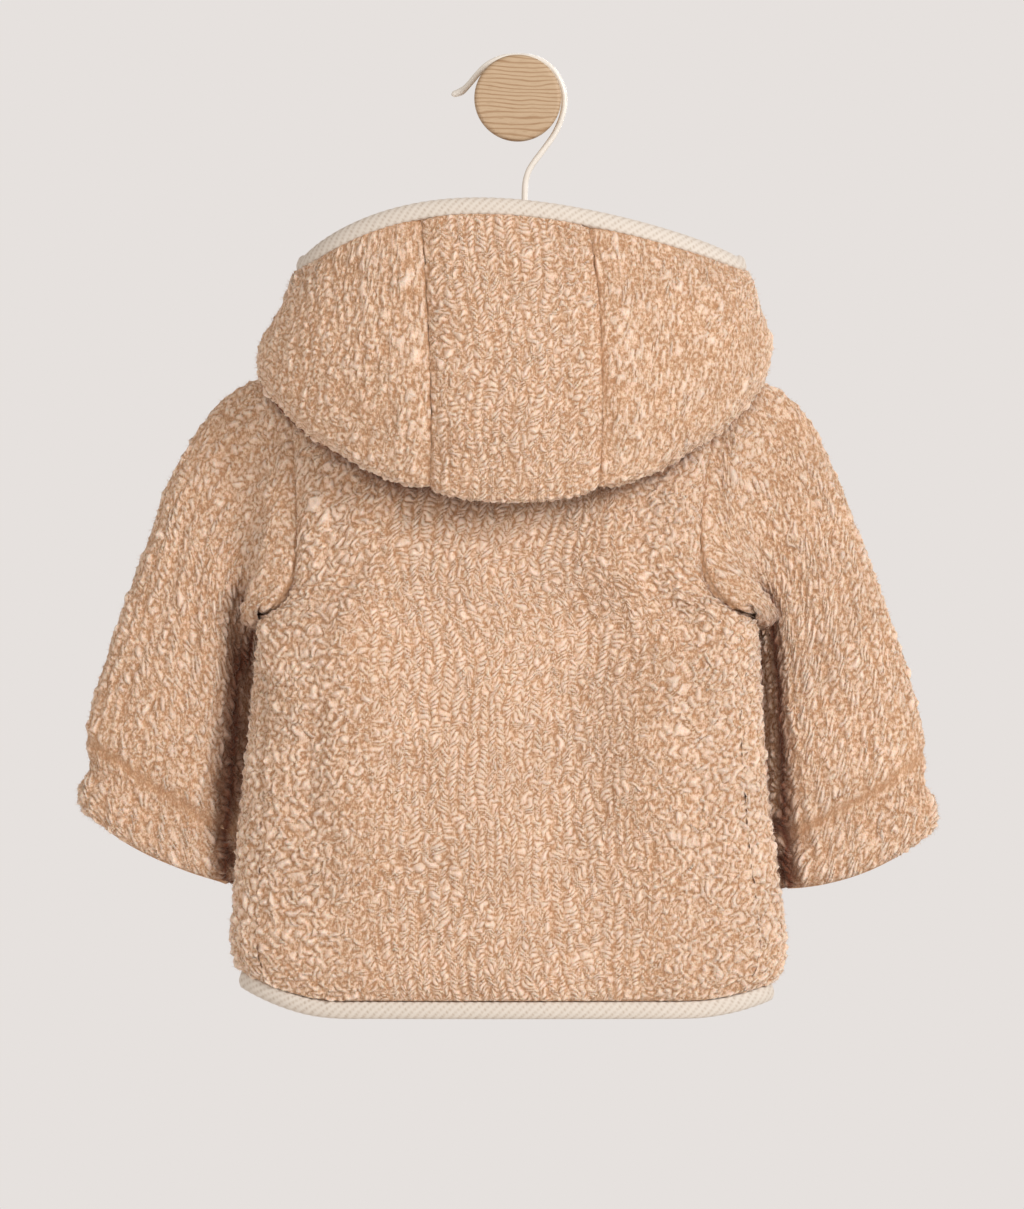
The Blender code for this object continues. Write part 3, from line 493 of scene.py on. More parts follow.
def back_neck():
    """From the left neck point round the back of the neck to the right one."""
    angles = np.linspace(math.pi, 0, BACK_NECK_STEPS + 1)
    across = NECK_HALF * np.cos(angles)
    heights = NECK_TOP - BACK_NECK_DIP * np.sin(angles)
    return list(zip(turn_at(across, heights), heights))


def front_neck(side):
    """From the neck point down to the top of the front edge, past the centre line."""
    past = math.asin(FRONT_LAP / NECK_HALF)
    angles = np.linspace(0, math.pi / 2 + past, FRONT_NECK_STEPS + 1)
    line = []
    for angle in angles:
        across = NECK_HALF * math.cos(angle)
        height = NECK_TOP - FRONT_NECK_DIP * math.sin(angle)
        line.append((front_turn(side, across, height), height))
    return line


def front_turn(side, across, height):
    """The turn on a front, which runs past 180 degrees where the front laps over."""
    if across >= 0:
        return float(turn_at(side * max(across, 1e-6), height, True))
    return side * 360 + float(turn_at(side * across, height, True))


def front_edge(side, top):
    """Up the free edge of a front, with one point for each row."""
    rows = len(SIDE_LEVELS) + 1 + ARMHOLE_CURVE_STEPS + len(ARMHOLE_LEVELS) + 1
    rise = np.linspace(0, 1, rows + 1)
    heights = FRONT_HEM + (top - FRONT_HEM) * (EDGE_EVEN * rise + (1 - EDGE_EVEN) * ease(rise))
    across = -FRONT_LAP - EDGE_WAVE * np.sin(EDGE_BENDS * math.pi * rise)
    return [(front_turn(side, *spot), spot[1]) for spot in zip(across, heights)]


# Panels are grids of points, row by row, with an outer and an inner layer.


def patch(left, right, bottom, top):
    """A Coons patch between four border lines of (turn, height) pairs."""
    left, right, bottom, top = (np.array(line, float) for line in (left, right, bottom, top))
    up = np.linspace(0, 1, len(left))[:, None, None]
    along = np.linspace(0, 1, len(bottom))[None, :, None]
    across = (1 - along) * left[:, None] + along * right[:, None]
    upward = (1 - up) * bottom[None] + up * top[None]
    corners = (1 - up) * ((1 - along) * bottom[0] + along * bottom[-1])
    corners = corners + up * ((1 - along) * top[0] + along * top[-1])
    return across + upward - corners


def body_layers(grid, tucked=False):
    """The outer and the inner layer of a grid of turns and heights."""
    return tuple(body_point(grid[..., 0], grid[..., 1], deep, tucked) for deep in (0.0, WALL))


def back_patch():
    left = side_seam(-1) + armhole(-1, False)
    right = side_seam(1) + armhole(1, False)
    top = shoulder_line(-1, False)[:-1] + back_neck() + shoulder_line(1, False)[-2::-1]
    turns = np.linspace(left[0][0], right[0][0], len(top))
    across = np.linspace(-1, 1, len(top))
    widest = (float(BODY["left_seam"][0]) + float(BODY["right_seam"][0])) / 2
    spread = turn_at(across * widest, np.full(len(top), BACK_HEM))
    turns[1:-1] = spread[1:-1]
    return patch(left, right, list(zip(turns, hem_height(turns))), top)


def front_patch(side):
    seam = side_seam(side) + armhole(side, True)
    top = shoulder_line(side, True)[:-1] + front_neck(side)
    edge = front_edge(side, top[-1][1])
    lap = [front_turn(side, across, FRONT_HEM) for across in LAP_COLUMNS]
    turns = np.linspace(seam[0][0], lap[0], len(top) - len(lap))
    turns = np.concatenate([turns, lap[1:], [edge[0][0]]])
    return patch(seam, edge, list(zip(turns, hem_height(turns))), top)


def grid_normals(points, closed):
    """Unit normals of a grid of points, from the differences between its neighbours."""
    if closed:
        along = np.roll(points, -1, axis=1) - np.roll(points, 1, axis=1)
    else:
        along = np.gradient(points, axis=1)
    return unit(np.cross(along, np.gradient(points, axis=0)))


def sleeve_ring(row, side, angles):
    power = 2 / SLEEVE_POWER
    end_to_end = signed_power(np.cos(angles), power)
    face = signed_power(np.sin(angles), power)
    wide, tall = row["out"] - row["in"], row["out_z"] - row["in_z"]
    bow = np.where(face > 0, row["bow_back"], row["bow_front"]) * np.abs(face) ** 3
    down = row["bow_down"] * (1 - end_to_end**2) / math.hypot(wide, tall)
    x = (row["out"] + row["in"]) / 2 + wide / 2 * end_to_end - bow + down * tall
    z = (row["out_z"] + row["in_z"]) / 2 + tall / 2 * end_to_end - down * wide
    y = (row["back"] + row["front"]) / 2 - face * (row["front"] - row["back"]) / 2
    return np.stack([CENTRE_X + side * x, y, z], axis=-1)


def armhole_loop(side):
    """The armhole from the shoulder's end down the back, and up the front again."""
    behind = armhole(side, False)[::-1] + [(side * 90.0, UNDERARM)]
    return body_layers(np.array(behind + armhole(side, True)[:-1], float), side > 0)


def sleeve_layers(side):
    outer_seam, inner_seam = armhole_loop(side)
    count = len(outer_seam)
    angles = 2 * math.pi * np.arange(count) / count
    normal = unit(outer_seam - inner_seam)
    along = np.roll(outer_seam, -1, axis=0) - np.roll(outer_seam, 1, axis=0)
    inside = unit(np.cross(normal, along))
    heart = outer_seam.mean(axis=0) + (side * SLEEVE_HEART, 0.0, 0.0)
    facing = np.sign(np.sum(inside * (heart - outer_seam), axis=1, keepdims=True))
    rise = outer_seam + SEAM_RISE * normal + SEAM_RUN * inside * facing
    rows = [dict(zip(SLEEVE_COLUMNS, row)) for row in SLEEVE_ROWS[side]]
    rings = [outer_seam, rise] + [sleeve_ring(row, side, angles) for row in rows]
    walls = np.array([WALL, WALL] + [row["wall"] for row in rows])
    outer = np.array(rings)
    direction = side * grid_normals(outer, True)
    inner = outer - walls[:, None, None] * direction
    inner[0] = inner_seam
    step = unit(outer[-1] - outer[-2])
    end_outer = outer[-1] + LIP_LENGTH * step - LIP_ROUND * direction[-1]
    end_inner = inner[-1] + LIP_LENGTH * step + LIP_ROUND * direction[-1]
    return np.concatenate([outer, end_outer[None]]), np.concatenate([inner, end_inner[None]])


def neck_line(back, left, right, layer):
    """The body's neck edge from the left front, round the back, to the right front."""
    neck_back = back[layer][-1, SHOULDER_STEPS : SHOULDER_STEPS + BACK_NECK_STEPS + 1]
    neck_left = left[layer][-1, SHOULDER_STEPS + 1 :][::-1]
    neck_right = right[layer][-1, SHOULDER_STEPS + 1 :]
    return np.concatenate([neck_left, neck_back, neck_right])


def along_line(line, stations, lengths):
    return np.stack([np.interp(stations, lengths, line[:, axis]) for axis in range(3)], axis=-1)


def neck_stations(line, lengths):
    """Where the hood's columns meet the neck: even between its front ends and the strip's seams."""
    across = line[:, 0] - CENTRE_X
    left = slice(0, FRONT_NECK_STEPS + 1)
    back = slice(FRONT_NECK_STEPS, FRONT_NECK_STEPS + BACK_NECK_STEPS + 1)
    right = slice(FRONT_NECK_STEPS + BACK_NECK_STEPS, len(line))
    start = np.interp(HOOD_END, -across[left], lengths[left])
    seams = np.interp((-STRIP_AT_NECK, STRIP_AT_NECK), across[back], lengths[back])
    end = np.interp(-HOOD_END, -across[right], lengths[right])
    left_side = np.linspace(start, seams[0], HOOD_SIDE_STEPS + 1)
    strip = np.linspace(seams[0], seams[1], HOOD_STRIP_STEPS + 1)
    right_side = np.linspace(seams[1], end, HOOD_SIDE_STEPS + 1)
    return np.concatenate([left_side, strip[1:], right_side[1:]])


def hood_angles(half_width, strip, pinch):
    """The hood's columns as angles round it: 0 at the back and 180 at the front."""
    seam = math.asin(strip / half_width)
    end = math.pi - math.asin((HOOD_END / half_width) ** (1 / pinch))
    left = np.linspace(-end, -seam, HOOD_SIDE_STEPS + 1)
    middle = np.arcsin(np.linspace(-strip, strip, HOOD_STRIP_STEPS + 1) / half_width)
    right = np.linspace(seam, end, HOOD_SIDE_STEPS + 1)
    return np.concatenate([left, middle[1:], right[1:]])


def hood_ring(row):
    angles = hood_angles(row["half_width"], row["strip"], row["pinch"])
    sine = np.sin(angles)
    cosine = np.cos(angles)
    in_front = cosine < 0
    power = np.where(in_front, row["pinch"], 1.0)
    across = row["half_width"] * signed_power(sine, power)
    shift = row["centre"] * np.where(in_front, 1 - np.abs(cosine) ** 1.5, 1.0)
    shift = shift - np.where(in_front, 0.0, row["lean"] * cosine**2)
    middle = (row["back"] + row["front"]) / 2
    y = middle + cosine * (row["back"] - row["front"]) / 2
    tuck = LAP_TUCK * ease((HOOD_TUCK_FROM - across) / (HOOD_TUCK_FROM - LAP_TUCK_FULL))
    y = y - np.where(in_front & (sine > 0), tuck, 0.0)
    tipped = np.abs(np.cos(angles + np.radians(HOOD_TIP * row["lean"]) * cosine**2))
    z_back = row["z_side"] + (row["z_back"] - row["z_side"]) * tipped ** row["drop"]
    z_front = row["z_front"] - row["z_side"]
    z_front = row["z_side"] + z_front * np.abs(cosine) ** HOOD_FRONT_POWER
    z = np.where(in_front, z_front, z_back)
    return np.stack([CENTRE_X + across + shift, y, z], axis=-1)


def settled(points):
    """The points moved out where needed, so that they rest just clear of shoulders and back."""
    across = points[..., 0] - CENTRE_X
    edge = half_width(np.sign(across) * 90, np.full(across.shape, ARMHOLE_BEND))
    share = np.clip(np.abs(across) / edge, 0.0, 1.0)
    depth = (1 - share**SECTION_POWER) ** (1 / SECTION_POWER)
    thick = np.maximum(measured("back", points[..., 2]) * depth, SHOULDER_THICK) + HOOD_REST
    bend = ridge_height(across) - SHOULDER_ROUND
    rise = np.maximum(points[..., 2] - bend, 0.0) / (SHOULDER_ROUND + HOOD_REST)
    out = (points[..., 1] - CENTRE_Y) / thick
    reach = np.maximum(np.hypot(rise, out), 1e-6)
    push = np.maximum(1.0, 1.0 / reach)
    y = CENTRE_Y + out * push * thick
    z = np.where(rise > 0, bend + rise * push * (SHOULDER_ROUND + HOOD_REST), points[..., 2])
    return np.stack([points[..., 0], y, z], axis=-1)


def hood_layers(back, left, right):
    """The hood's outside, which faces the jacket's back inside the fold, and its inside."""
    edge = neck_line(back, left, right, 0)
    lengths = step_lengths(edge)
    stations = neck_stations(edge, lengths)
    first_outer = along_line(edge, stations, lengths)
    first_inner = along_line(neck_line(back, left, right, 1), stations, lengths)
    rows = [dict(zip(HOOD_COLUMNS, row)) for row in HOOD_ROWS]
    folded = np.array([first_outer] + [settled(hood_ring(row)) for row in rows])
    along = np.linspace(0, 1, len(folded))[:, None, None]
    rising = (1 - along) * folded[:1] + along * folded[-1:]
    lift = along * (1 - along) ** 2 / HUMP_TOP
    rising = rising + lift * (0.0, 0.0, HOOD_RISE_LIFT)
    angles = np.array([hood_angles(row["half_width"], row["strip"], row["pinch"]) for row in rows])
    turned_to = np.degrees(np.abs(np.concatenate([angles[:1], angles])))
    share = ease((turned_to - HOOD_RISE_FROM) / (HOOD_RISE_FULL - HOOD_RISE_FROM))[..., None]
    outer = (1 - share) * folded + share * rising
    inner = outer - WALL * grid_normals(outer, False)
    inner[0] = first_inner
    return outer, inner


# Every cloth piece's own surface, in millimetres. Its box agrees with its solid's to within
# BOX_SLACK metres.
BOX_SLACK = 0.0008


def jacket_layers():
    """The outer and inner layer of each cloth node, checked against the node's own box."""
    back = body_layers(PATCHES["back"])
    left = body_layers(PATCHES["front_left"])
    right = body_layers(PATCHES["front_right"], True)
    hood = hood_layers(back, left, right)
    seams = (0, HOOD_SIDE_STEPS, HOOD_SIDE_STEPS + HOOD_STRIP_STEPS, hood[0].shape[1] - 1)
    made = {
        "back": back,
        "front_left": left,
        "front_right": right,
        "sleeve_left": sleeve_layers(-1),
        "sleeve_right": sleeve_layers(1),
    }
    for name, first, last in zip(("hood_left", "hood_centre", "hood_right"), seams, seams[1:]):
        made[name] = tuple(layer[:, first : last + 1] for layer in hood)
    for name, layers in made.items():
        points = np.concatenate([layer.reshape(-1, 3) for layer in layers]) * MM
        box = np.array([list(corner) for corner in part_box(name)])
        if np.abs(np.array([points.min(axis=0), points.max(axis=0)]) - box).max() > BOX_SLACK:
            raise RuntimeError(f"{name} isn't where its solid is")
    made["hood"] = hood
    return made


def between(values, at, closed=False):
    """Points at fractional places along the first axis, on smooth curves through the given ones."""
    count = len(values)
    left = np.floor(at).astype(int)
    if not closed:
        left = np.clip(left, 0, count - 2)
    ends = np.concatenate([values, values[:1]]) if closed else values
    steps = np.diff(ends, axis=0)
    lengths = np.maximum(np.linalg.norm(steps, axis=-1, keepdims=True), 1e-6)
    speeds = steps / lengths
    before = np.roll(speeds, 1, axis=0)
    far = np.roll(lengths, 1, axis=0)
    slope = (lengths * before + far * speeds) / (lengths + far)
    slope = slope * np.clip(np.sum(before * speeds, axis=-1, keepdims=True), 0.0, 1.0)
    if not closed:
        slope[0] = speeds[0]
        slope = np.concatenate([slope, speeds[-1:]])
    part = (at - left).reshape((-1,) + (1,) * (values.ndim - 1))
    here, ahead = left % count, (left + 1) % count
    long = lengths[left % len(lengths)]
    return cubic(values[here], values[ahead], slope[here], slope[ahead], part, long)


def step_lengths(points):
    """The lengths from the first row of points to each row, along every column."""
    steps = np.linalg.norm(np.diff(points, axis=0), axis=-1)
    return np.concatenate([np.zeros_like(steps[:1]), np.cumsum(steps, axis=0)])


def even_places(grid, spacing, closed=False):
    """Fractional places along the first axis, at an even spacing on the grid's middle line."""
    line = grid[:, grid.shape[1] // 2]
    if closed:
        line = np.concatenate([line, line[:1]])
    lengths = step_lengths(line)
    count = max(4, int(round(lengths[-1] / spacing)))
    wanted = np.linspace(0, lengths[-1], count, endpoint=not closed)
    return np.interp(wanted, lengths, np.arange(len(line)))


def finer(layers, spacing, closed):
    """The layers on smooth curves through their points, at about this spacing."""
    up = even_places(layers[0], spacing)
    layers = [between(layer, up) for layer in layers]
    turned_round = [layer.transpose(1, 0, 2) for layer in layers]
    across = even_places(turned_round[0], spacing, closed)
    return [between(layer, across, closed).transpose(1, 0, 2) for layer in turned_round]


# Turns round the body at which its girth is measured, and the height where that is done.
TURNS = np.linspace(-230.0, 230.0, 1841)
GIRTH_HEIGHT = -350.0
EVENING_ROUNDS = 160


def finer_body(name, spacing):
    """A body panel's layers on its own surface, with its points spread evenly between its edges."""
    girth = step_lengths(body_point(TURNS, np.full(len(TURNS), GIRTH_HEIGHT)))
    flat = PATCHES[name].copy()
    flat[..., 0] = np.interp(flat[..., 0], TURNS, girth)
    flat = finer([flat], spacing, False)[0]
    for _ in range(EVENING_ROUNDS):
        near = flat[2:, 1:-1] + flat[:-2, 1:-1] + flat[1:-1, 2:] + flat[1:-1, :-2]
        flat[1:-1, 1:-1] = near / 4
    flat[..., 0] = np.interp(flat[..., 0], girth, TURNS)
    return list(body_layers(flat, name == "front_right"))


# How often normals are evened out with their neighbours, for the shells and for the pile.
SOFTENINGS = 5
PILE_SOFTENINGS = 6


def outward(outer, inner, closed):
    """Even unit normals of the outer layer, and whether rows and columns run the other way."""
    normal = grid_normals(outer, closed)
    turned_over = np.sum(normal * (outer - inner)) < 0
    for _ in range(SOFTENINGS):
        normal = softened(normal, closed)
    return unit(-normal if turned_over else normal), turned_over


# A side seam's share of a seam's depth, and where up the panel the armhole takes over.
SIDE_SEAM_SHARE = 0.15
ARMHOLE_FROM = 0.48
ARMHOLE_RUN = 0.12


def seam_share(name, along):
    """How deep a side seam lies: armholes and hood seams show, side seams hardly."""
    if name not in PATCHES:
        return 1.0
    armhole_share = ease((along - ARMHOLE_FROM) / ARMHOLE_RUN)
    return SIDE_SEAM_SHARE + (1 - SIDE_SEAM_SHARE) * armhole_share


def creased(name, layers, normal):
    """The layers with the listed creases, and with the sewn edges drawn in a little."""
    outer = layers[0]
    rows, columns = outer.shape[:2]
    along = np.linspace(0, 1, rows)[:, None]
    across = np.linspace(0, 1, columns)[None, :]
    high = step_lengths(outer[:, columns // 2])[-1]
    wide = step_lengths(outer[rows // 2])[-1]
    total = np.zeros((rows, columns))
    for node, up, aside, long, half, depth, turn in CREASES:
        if node == name:
            apart = across - aside + 0 * along
            if name.startswith("sleeve"):
                apart = (apart + 0.5) % 1 - 0.5
            apart = apart * wide
            rise = (along - up) * high
            angle = math.radians(turn)
            run = apart * math.cos(angle) + rise * math.sin(angle)
            off = rise * math.cos(angle) - apart * math.sin(angle)
            off = off + CREASE_SWAY * np.sin(run / CREASE_SWAY_RUN)
            total += depth * np.exp(-((run / long) ** 2) - (off / half) ** 2)
    if name in PATCHES:
        total *= ease(along / HEM_HELD)
    pushed = np.zeros((rows, columns, 3))
    for node, aside, half, depth in TUCKS:
        if node == name:
            far = np.abs((across - aside + 0.5) % 1 - 0.5) * wide
            weight = np.exp(-((far / half) ** 2)) * ease((along - TUCK_FROM) / TUCK_RUN)
            weight = weight * (1 - TUCK_LOSS * ease((along - CUFF_FROM) / CUFF_RUN))
            weight = weight * ease((TUCK_FACING - normal[..., 1]) / (2 * TUCK_FACING))
            pushed[..., 1] += depth * weight
    for node, place, half, depth in GROOVES:
        if node == name:
            total += depth * np.exp(-((((along - place) * high) / half) ** 2))
    deep = SEAM_DIP * seam_share(name, along)
    for sewn, far in zip(CLOTH[name]["seams"], (across * wide, (1 - across) * wide)):
        if sewn:
            total += deep * np.exp(-((far / SEAM_DIP_WIDTH) ** 2))
    if name.startswith("sleeve"):
        total += SEAM_DIP * np.exp(-((along * high / SEAM_DIP_WIDTH) ** 2))
    return [layer - total[..., None] * normal + pushed for layer in layers]


# Meshes.


def mesh_piece(name, points, faces, material, replaces=()):
    """A piece in metres from points in millimetres and rows of corners, riding on the body."""
    faces = [np.asarray(part) for part in faces if len(part)]
    mesh = bpy.data.meshes.new(name)
    mesh.vertices.add(len(points))
    mesh.vertices.foreach_set("co", (np.asarray(points) * MM).astype(np.float32).ravel())
    sizes = np.concatenate([np.full(len(part), part.shape[1]) for part in faces])
    corners = np.concatenate([part.ravel() for part in faces])
    mesh.loops.add(len(corners))
    mesh.loops.foreach_set("vertex_index", corners.astype(np.int32))
    mesh.polygons.add(len(sizes))
    starts = np.concatenate([[0], np.cumsum(sizes)[:-1]])
    mesh.polygons.foreach_set("loop_start", starts.astype(np.int32))
    mesh.update(calc_edges=True)
    mesh.shade_smooth()
    for each in material if isinstance(material, (list, tuple)) else [material]:
        mesh.materials.append(each)
    piece = bpy.data.objects.new(name, mesh)
    bpy.context.scene.collection.objects.link(piece)
    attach(piece, ROOT)
    if replaces:
        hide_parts(*replaces)
    return piece


def point_values(piece, name, values):
    layer = piece.data.attributes.new(name, "FLOAT", "POINT")
    layer.data.foreach_set("value", np.asarray(values, np.float32).ravel())


def numbered(shape, closed, first=0):
    """The point numbers of a grid, with its first column again at the end where it is closed."""
    index = np.arange(shape[0] * shape[1]).reshape(shape) + first
    return np.concatenate([index, index[:, :1]], axis=1) if closed else index


def quads_of(index):
    """The quads of a grid of point numbers, turning from columns to rows."""
    return np.stack(
        [index[:-1, :-1], index[:-1, 1:], index[1:, 1:], index[1:, :-1]], axis=-1
    ).reshape(-1, 4)


def wall_piece(name, layers, closed, turned_over, material, node):
    """A thin closed shell from its outer and inner layers."""
    rows, columns = layers[0].shape[:2]
    index = numbered((rows, columns), closed)
    beneath = index + rows * columns
    rims = [(beneath[0], index[0]), (index[-1], beneath[-1])]
    if not closed:
        rims += [(index[:, 0], beneath[:, 0]), (beneath[:, -1], index[:, -1])]
    parts = [quads_of(index), quads_of(beneath)[:, ::-1]]
    parts += [quads_of(np.stack(rim)) for rim in rims]
    faces = np.concatenate(parts)
    points = np.concatenate([layer.reshape(-1, 3) for layer in layers])
    piece = mesh_piece(
        name, points, [faces[:, ::-1] if turned_over else faces], material, [node]
    )
    kinds = np.ones(len(faces), np.int32)
    kinds[len(parts[0]) : 2 * len(parts[0])] = 0
    piece.data.polygons.foreach_set("material_index", kinds)
    piece.data.set_sharp_from_angle(angle=math.radians(SHELL_SHARP))
    return piece


# Locks of pile: slanting ones in columns, and bold wavy ones that run down the cloth, each
# joined a little to the next. Heights are shares of the pile's length.
SLANT = 0.85
BOLD_WIDTH = 5.6
BOLD_LENGTH = 8.5
BOLD_WAVE = 1.8
BOLD_JOINED = 0.15
BOLD_SLIP = 0.9
BOLD_SLIP_RUN = 30
WAVE_SLIP = 0.6
WAVE_SIZE = 14
WAVE_RUN = 25
EDGE_ROUND = 2.6
SEAM_ROUND = 4.2
CREASE_LEVEL = 0.32
PLAIN_RELIEF = 0.90
BOLD_RELIEF = 1.25
LOCK_ROUND = 0.015
DOME_FOOT = 0.1
PLUMP_LEAST = 0.55
TALLEST = 1.4
GROOVE_PRESSED = 0.75
SEAM_PRESSED = 0.7
SEAM_RAGGED = 0.9
SEAM_RAGGED_SIZE = 4
EDGE_LEAST = 0.3
CUFF_LEAST = 0.8
STAND_UNEVEN = 0.20
STAND_SIZE = 10

# From this share of the way out to a panel's side, and over this share, its locks grow bolder.
BOLD_FROM = 0.35
BOLD_RUN = 0.45

# How locks wander, in millimetres: patches of unruly pile and the least unruliness, the slow
# drift of the columns, how far locks are stirred, and small tufts on their faces.
WILD_SIZE = 55
WILD_SHARP = 1.2
TAMEST = 0.35
DRIFT = 6.0
DRIFT_SIZE = 45
STIR = 1.4
STIR_WILD = 2.2
STIR_BOLD = 1.4
STIR_SIZE = 7.0
COURSE_SLIP = 0.5
COURSE_SLIP_RUN = 20
TUFT = 0.30
TUFT_SIZE = 3.6

# Spacing of the fine layers' points.
GRID = 2.3

# Loose fibres: how many stand on a square millimetre, their width and how far they lean.
FIBRE_DENSITY = 0.24
FIBRE_WIDTH = 0.20
FIBRE_LEAN = 0.7


# Squares of the unevenness before it repeats, and what brings its values to about -1 to 1.
LUMPS = 128
LUMPS_GAIN = 1.5


def lumps(across, along, seed):
    """Smooth uneven values of about -1 to 1, with lumps one unit wide."""
    chance = np.random.default_rng(seed)
    turns = chance.uniform(0, 2 * math.pi, (LUMPS, LUMPS))
    left, low = np.floor(across), np.floor(along)
    total = np.zeros(np.shape(across))
    for column in (left, left + 1):
        for row in (low, low + 1):
            turn = turns[row.astype(int) % LUMPS, column.astype(int) % LUMPS]
            run, rise = across - column, along - row
            slope = np.cos(turn) * run + np.sin(turn) * rise
            total += slope * ease(1 - np.abs(run)) * ease(1 - np.abs(rise))
    return LUMPS_GAIN * total


def locks(across, along, bold, scale, settings, seed):
    """Signed values that pass through zero in the creases between locks of pile."""
    wale, course = scale * settings.wale / MM, scale * settings.course / MM
    wild = ease(0.5 + WILD_SHARP * lumps(across / WILD_SIZE, along / WILD_SIZE, seed))
    wild = TAMEST + (1 - TAMEST) * wild
    across = across + DRIFT * lumps(across / DRIFT_SIZE, along / DRIFT_SIZE, seed + 1)
    stir = STIR + STIR_WILD * wild + STIR_BOLD * bold
    moved = across + stir * lumps(across / STIR_SIZE, along / STIR_SIZE, seed + 2)
    along = along + stir * lumps(across / STIR_SIZE, along / STIR_SIZE, seed + 3)
    fold = np.abs((moved / wale) % 2 - 1)
    step = (along + SLANT / scale * wale * fold) / course
    step = step + COURSE_SLIP * lumps(across / wale, along / COURSE_SLIP_RUN, seed + 4)
    narrow = np.sin(math.pi * moved / wale) * np.sin(math.pi * step)
    phase = along / BOLD_LENGTH
    phase = phase + WAVE_SLIP * lumps(across / WAVE_SIZE, along / WAVE_RUN, seed + 5)
    wavy = (moved + BOLD_WAVE * np.sin(2 * math.pi * phase)) / BOLD_WIDTH
    count = along / BOLD_LENGTH
    count = count + BOLD_SLIP * lumps(across / BOLD_WIDTH, along / BOLD_SLIP_RUN, seed + 6)
    broad = np.sin(math.pi * wavy) * (BOLD_JOINED + np.abs(np.sin(math.pi * count)))
    both = narrow * (1 - bold) + broad * bold
    return both + TUFT * lumps(across / TUFT_SIZE, along / TUFT_SIZE, seed + 7)


def domed(value):
    """0 to 1 on a quarter circle, steep at the start."""
    return np.sqrt(1 - (1 - np.clip(value, 0, 1)) ** 2)


def doubled(grid, closed):
    """A grid with points added halfway along its rows and columns."""
    grid = between(grid, np.arange(2 * len(grid) - 1) / 2).transpose(1, 0, 2)
    count = 2 * len(grid) - (0 if closed else 1)
    return between(grid, np.arange(count) / 2, closed).transpose(1, 0, 2)


def softened(values, closed=False):
    """Each value of a grid evened out with its neighbours."""
    values = np.concatenate([values[:1], values, values[-1:]])
    values = (values[:-2] + 2 * values[1:-1] + values[2:]) / 4
    ends = (values[:, -1:], values[:, :1]) if closed else (values[:, :1], values[:, -1:])
    values = np.concatenate([ends[0], values, ends[1]], axis=1)
    return (values[:, :-2] + 2 * values[:, 1:-1] + values[:, 2:]) / 4


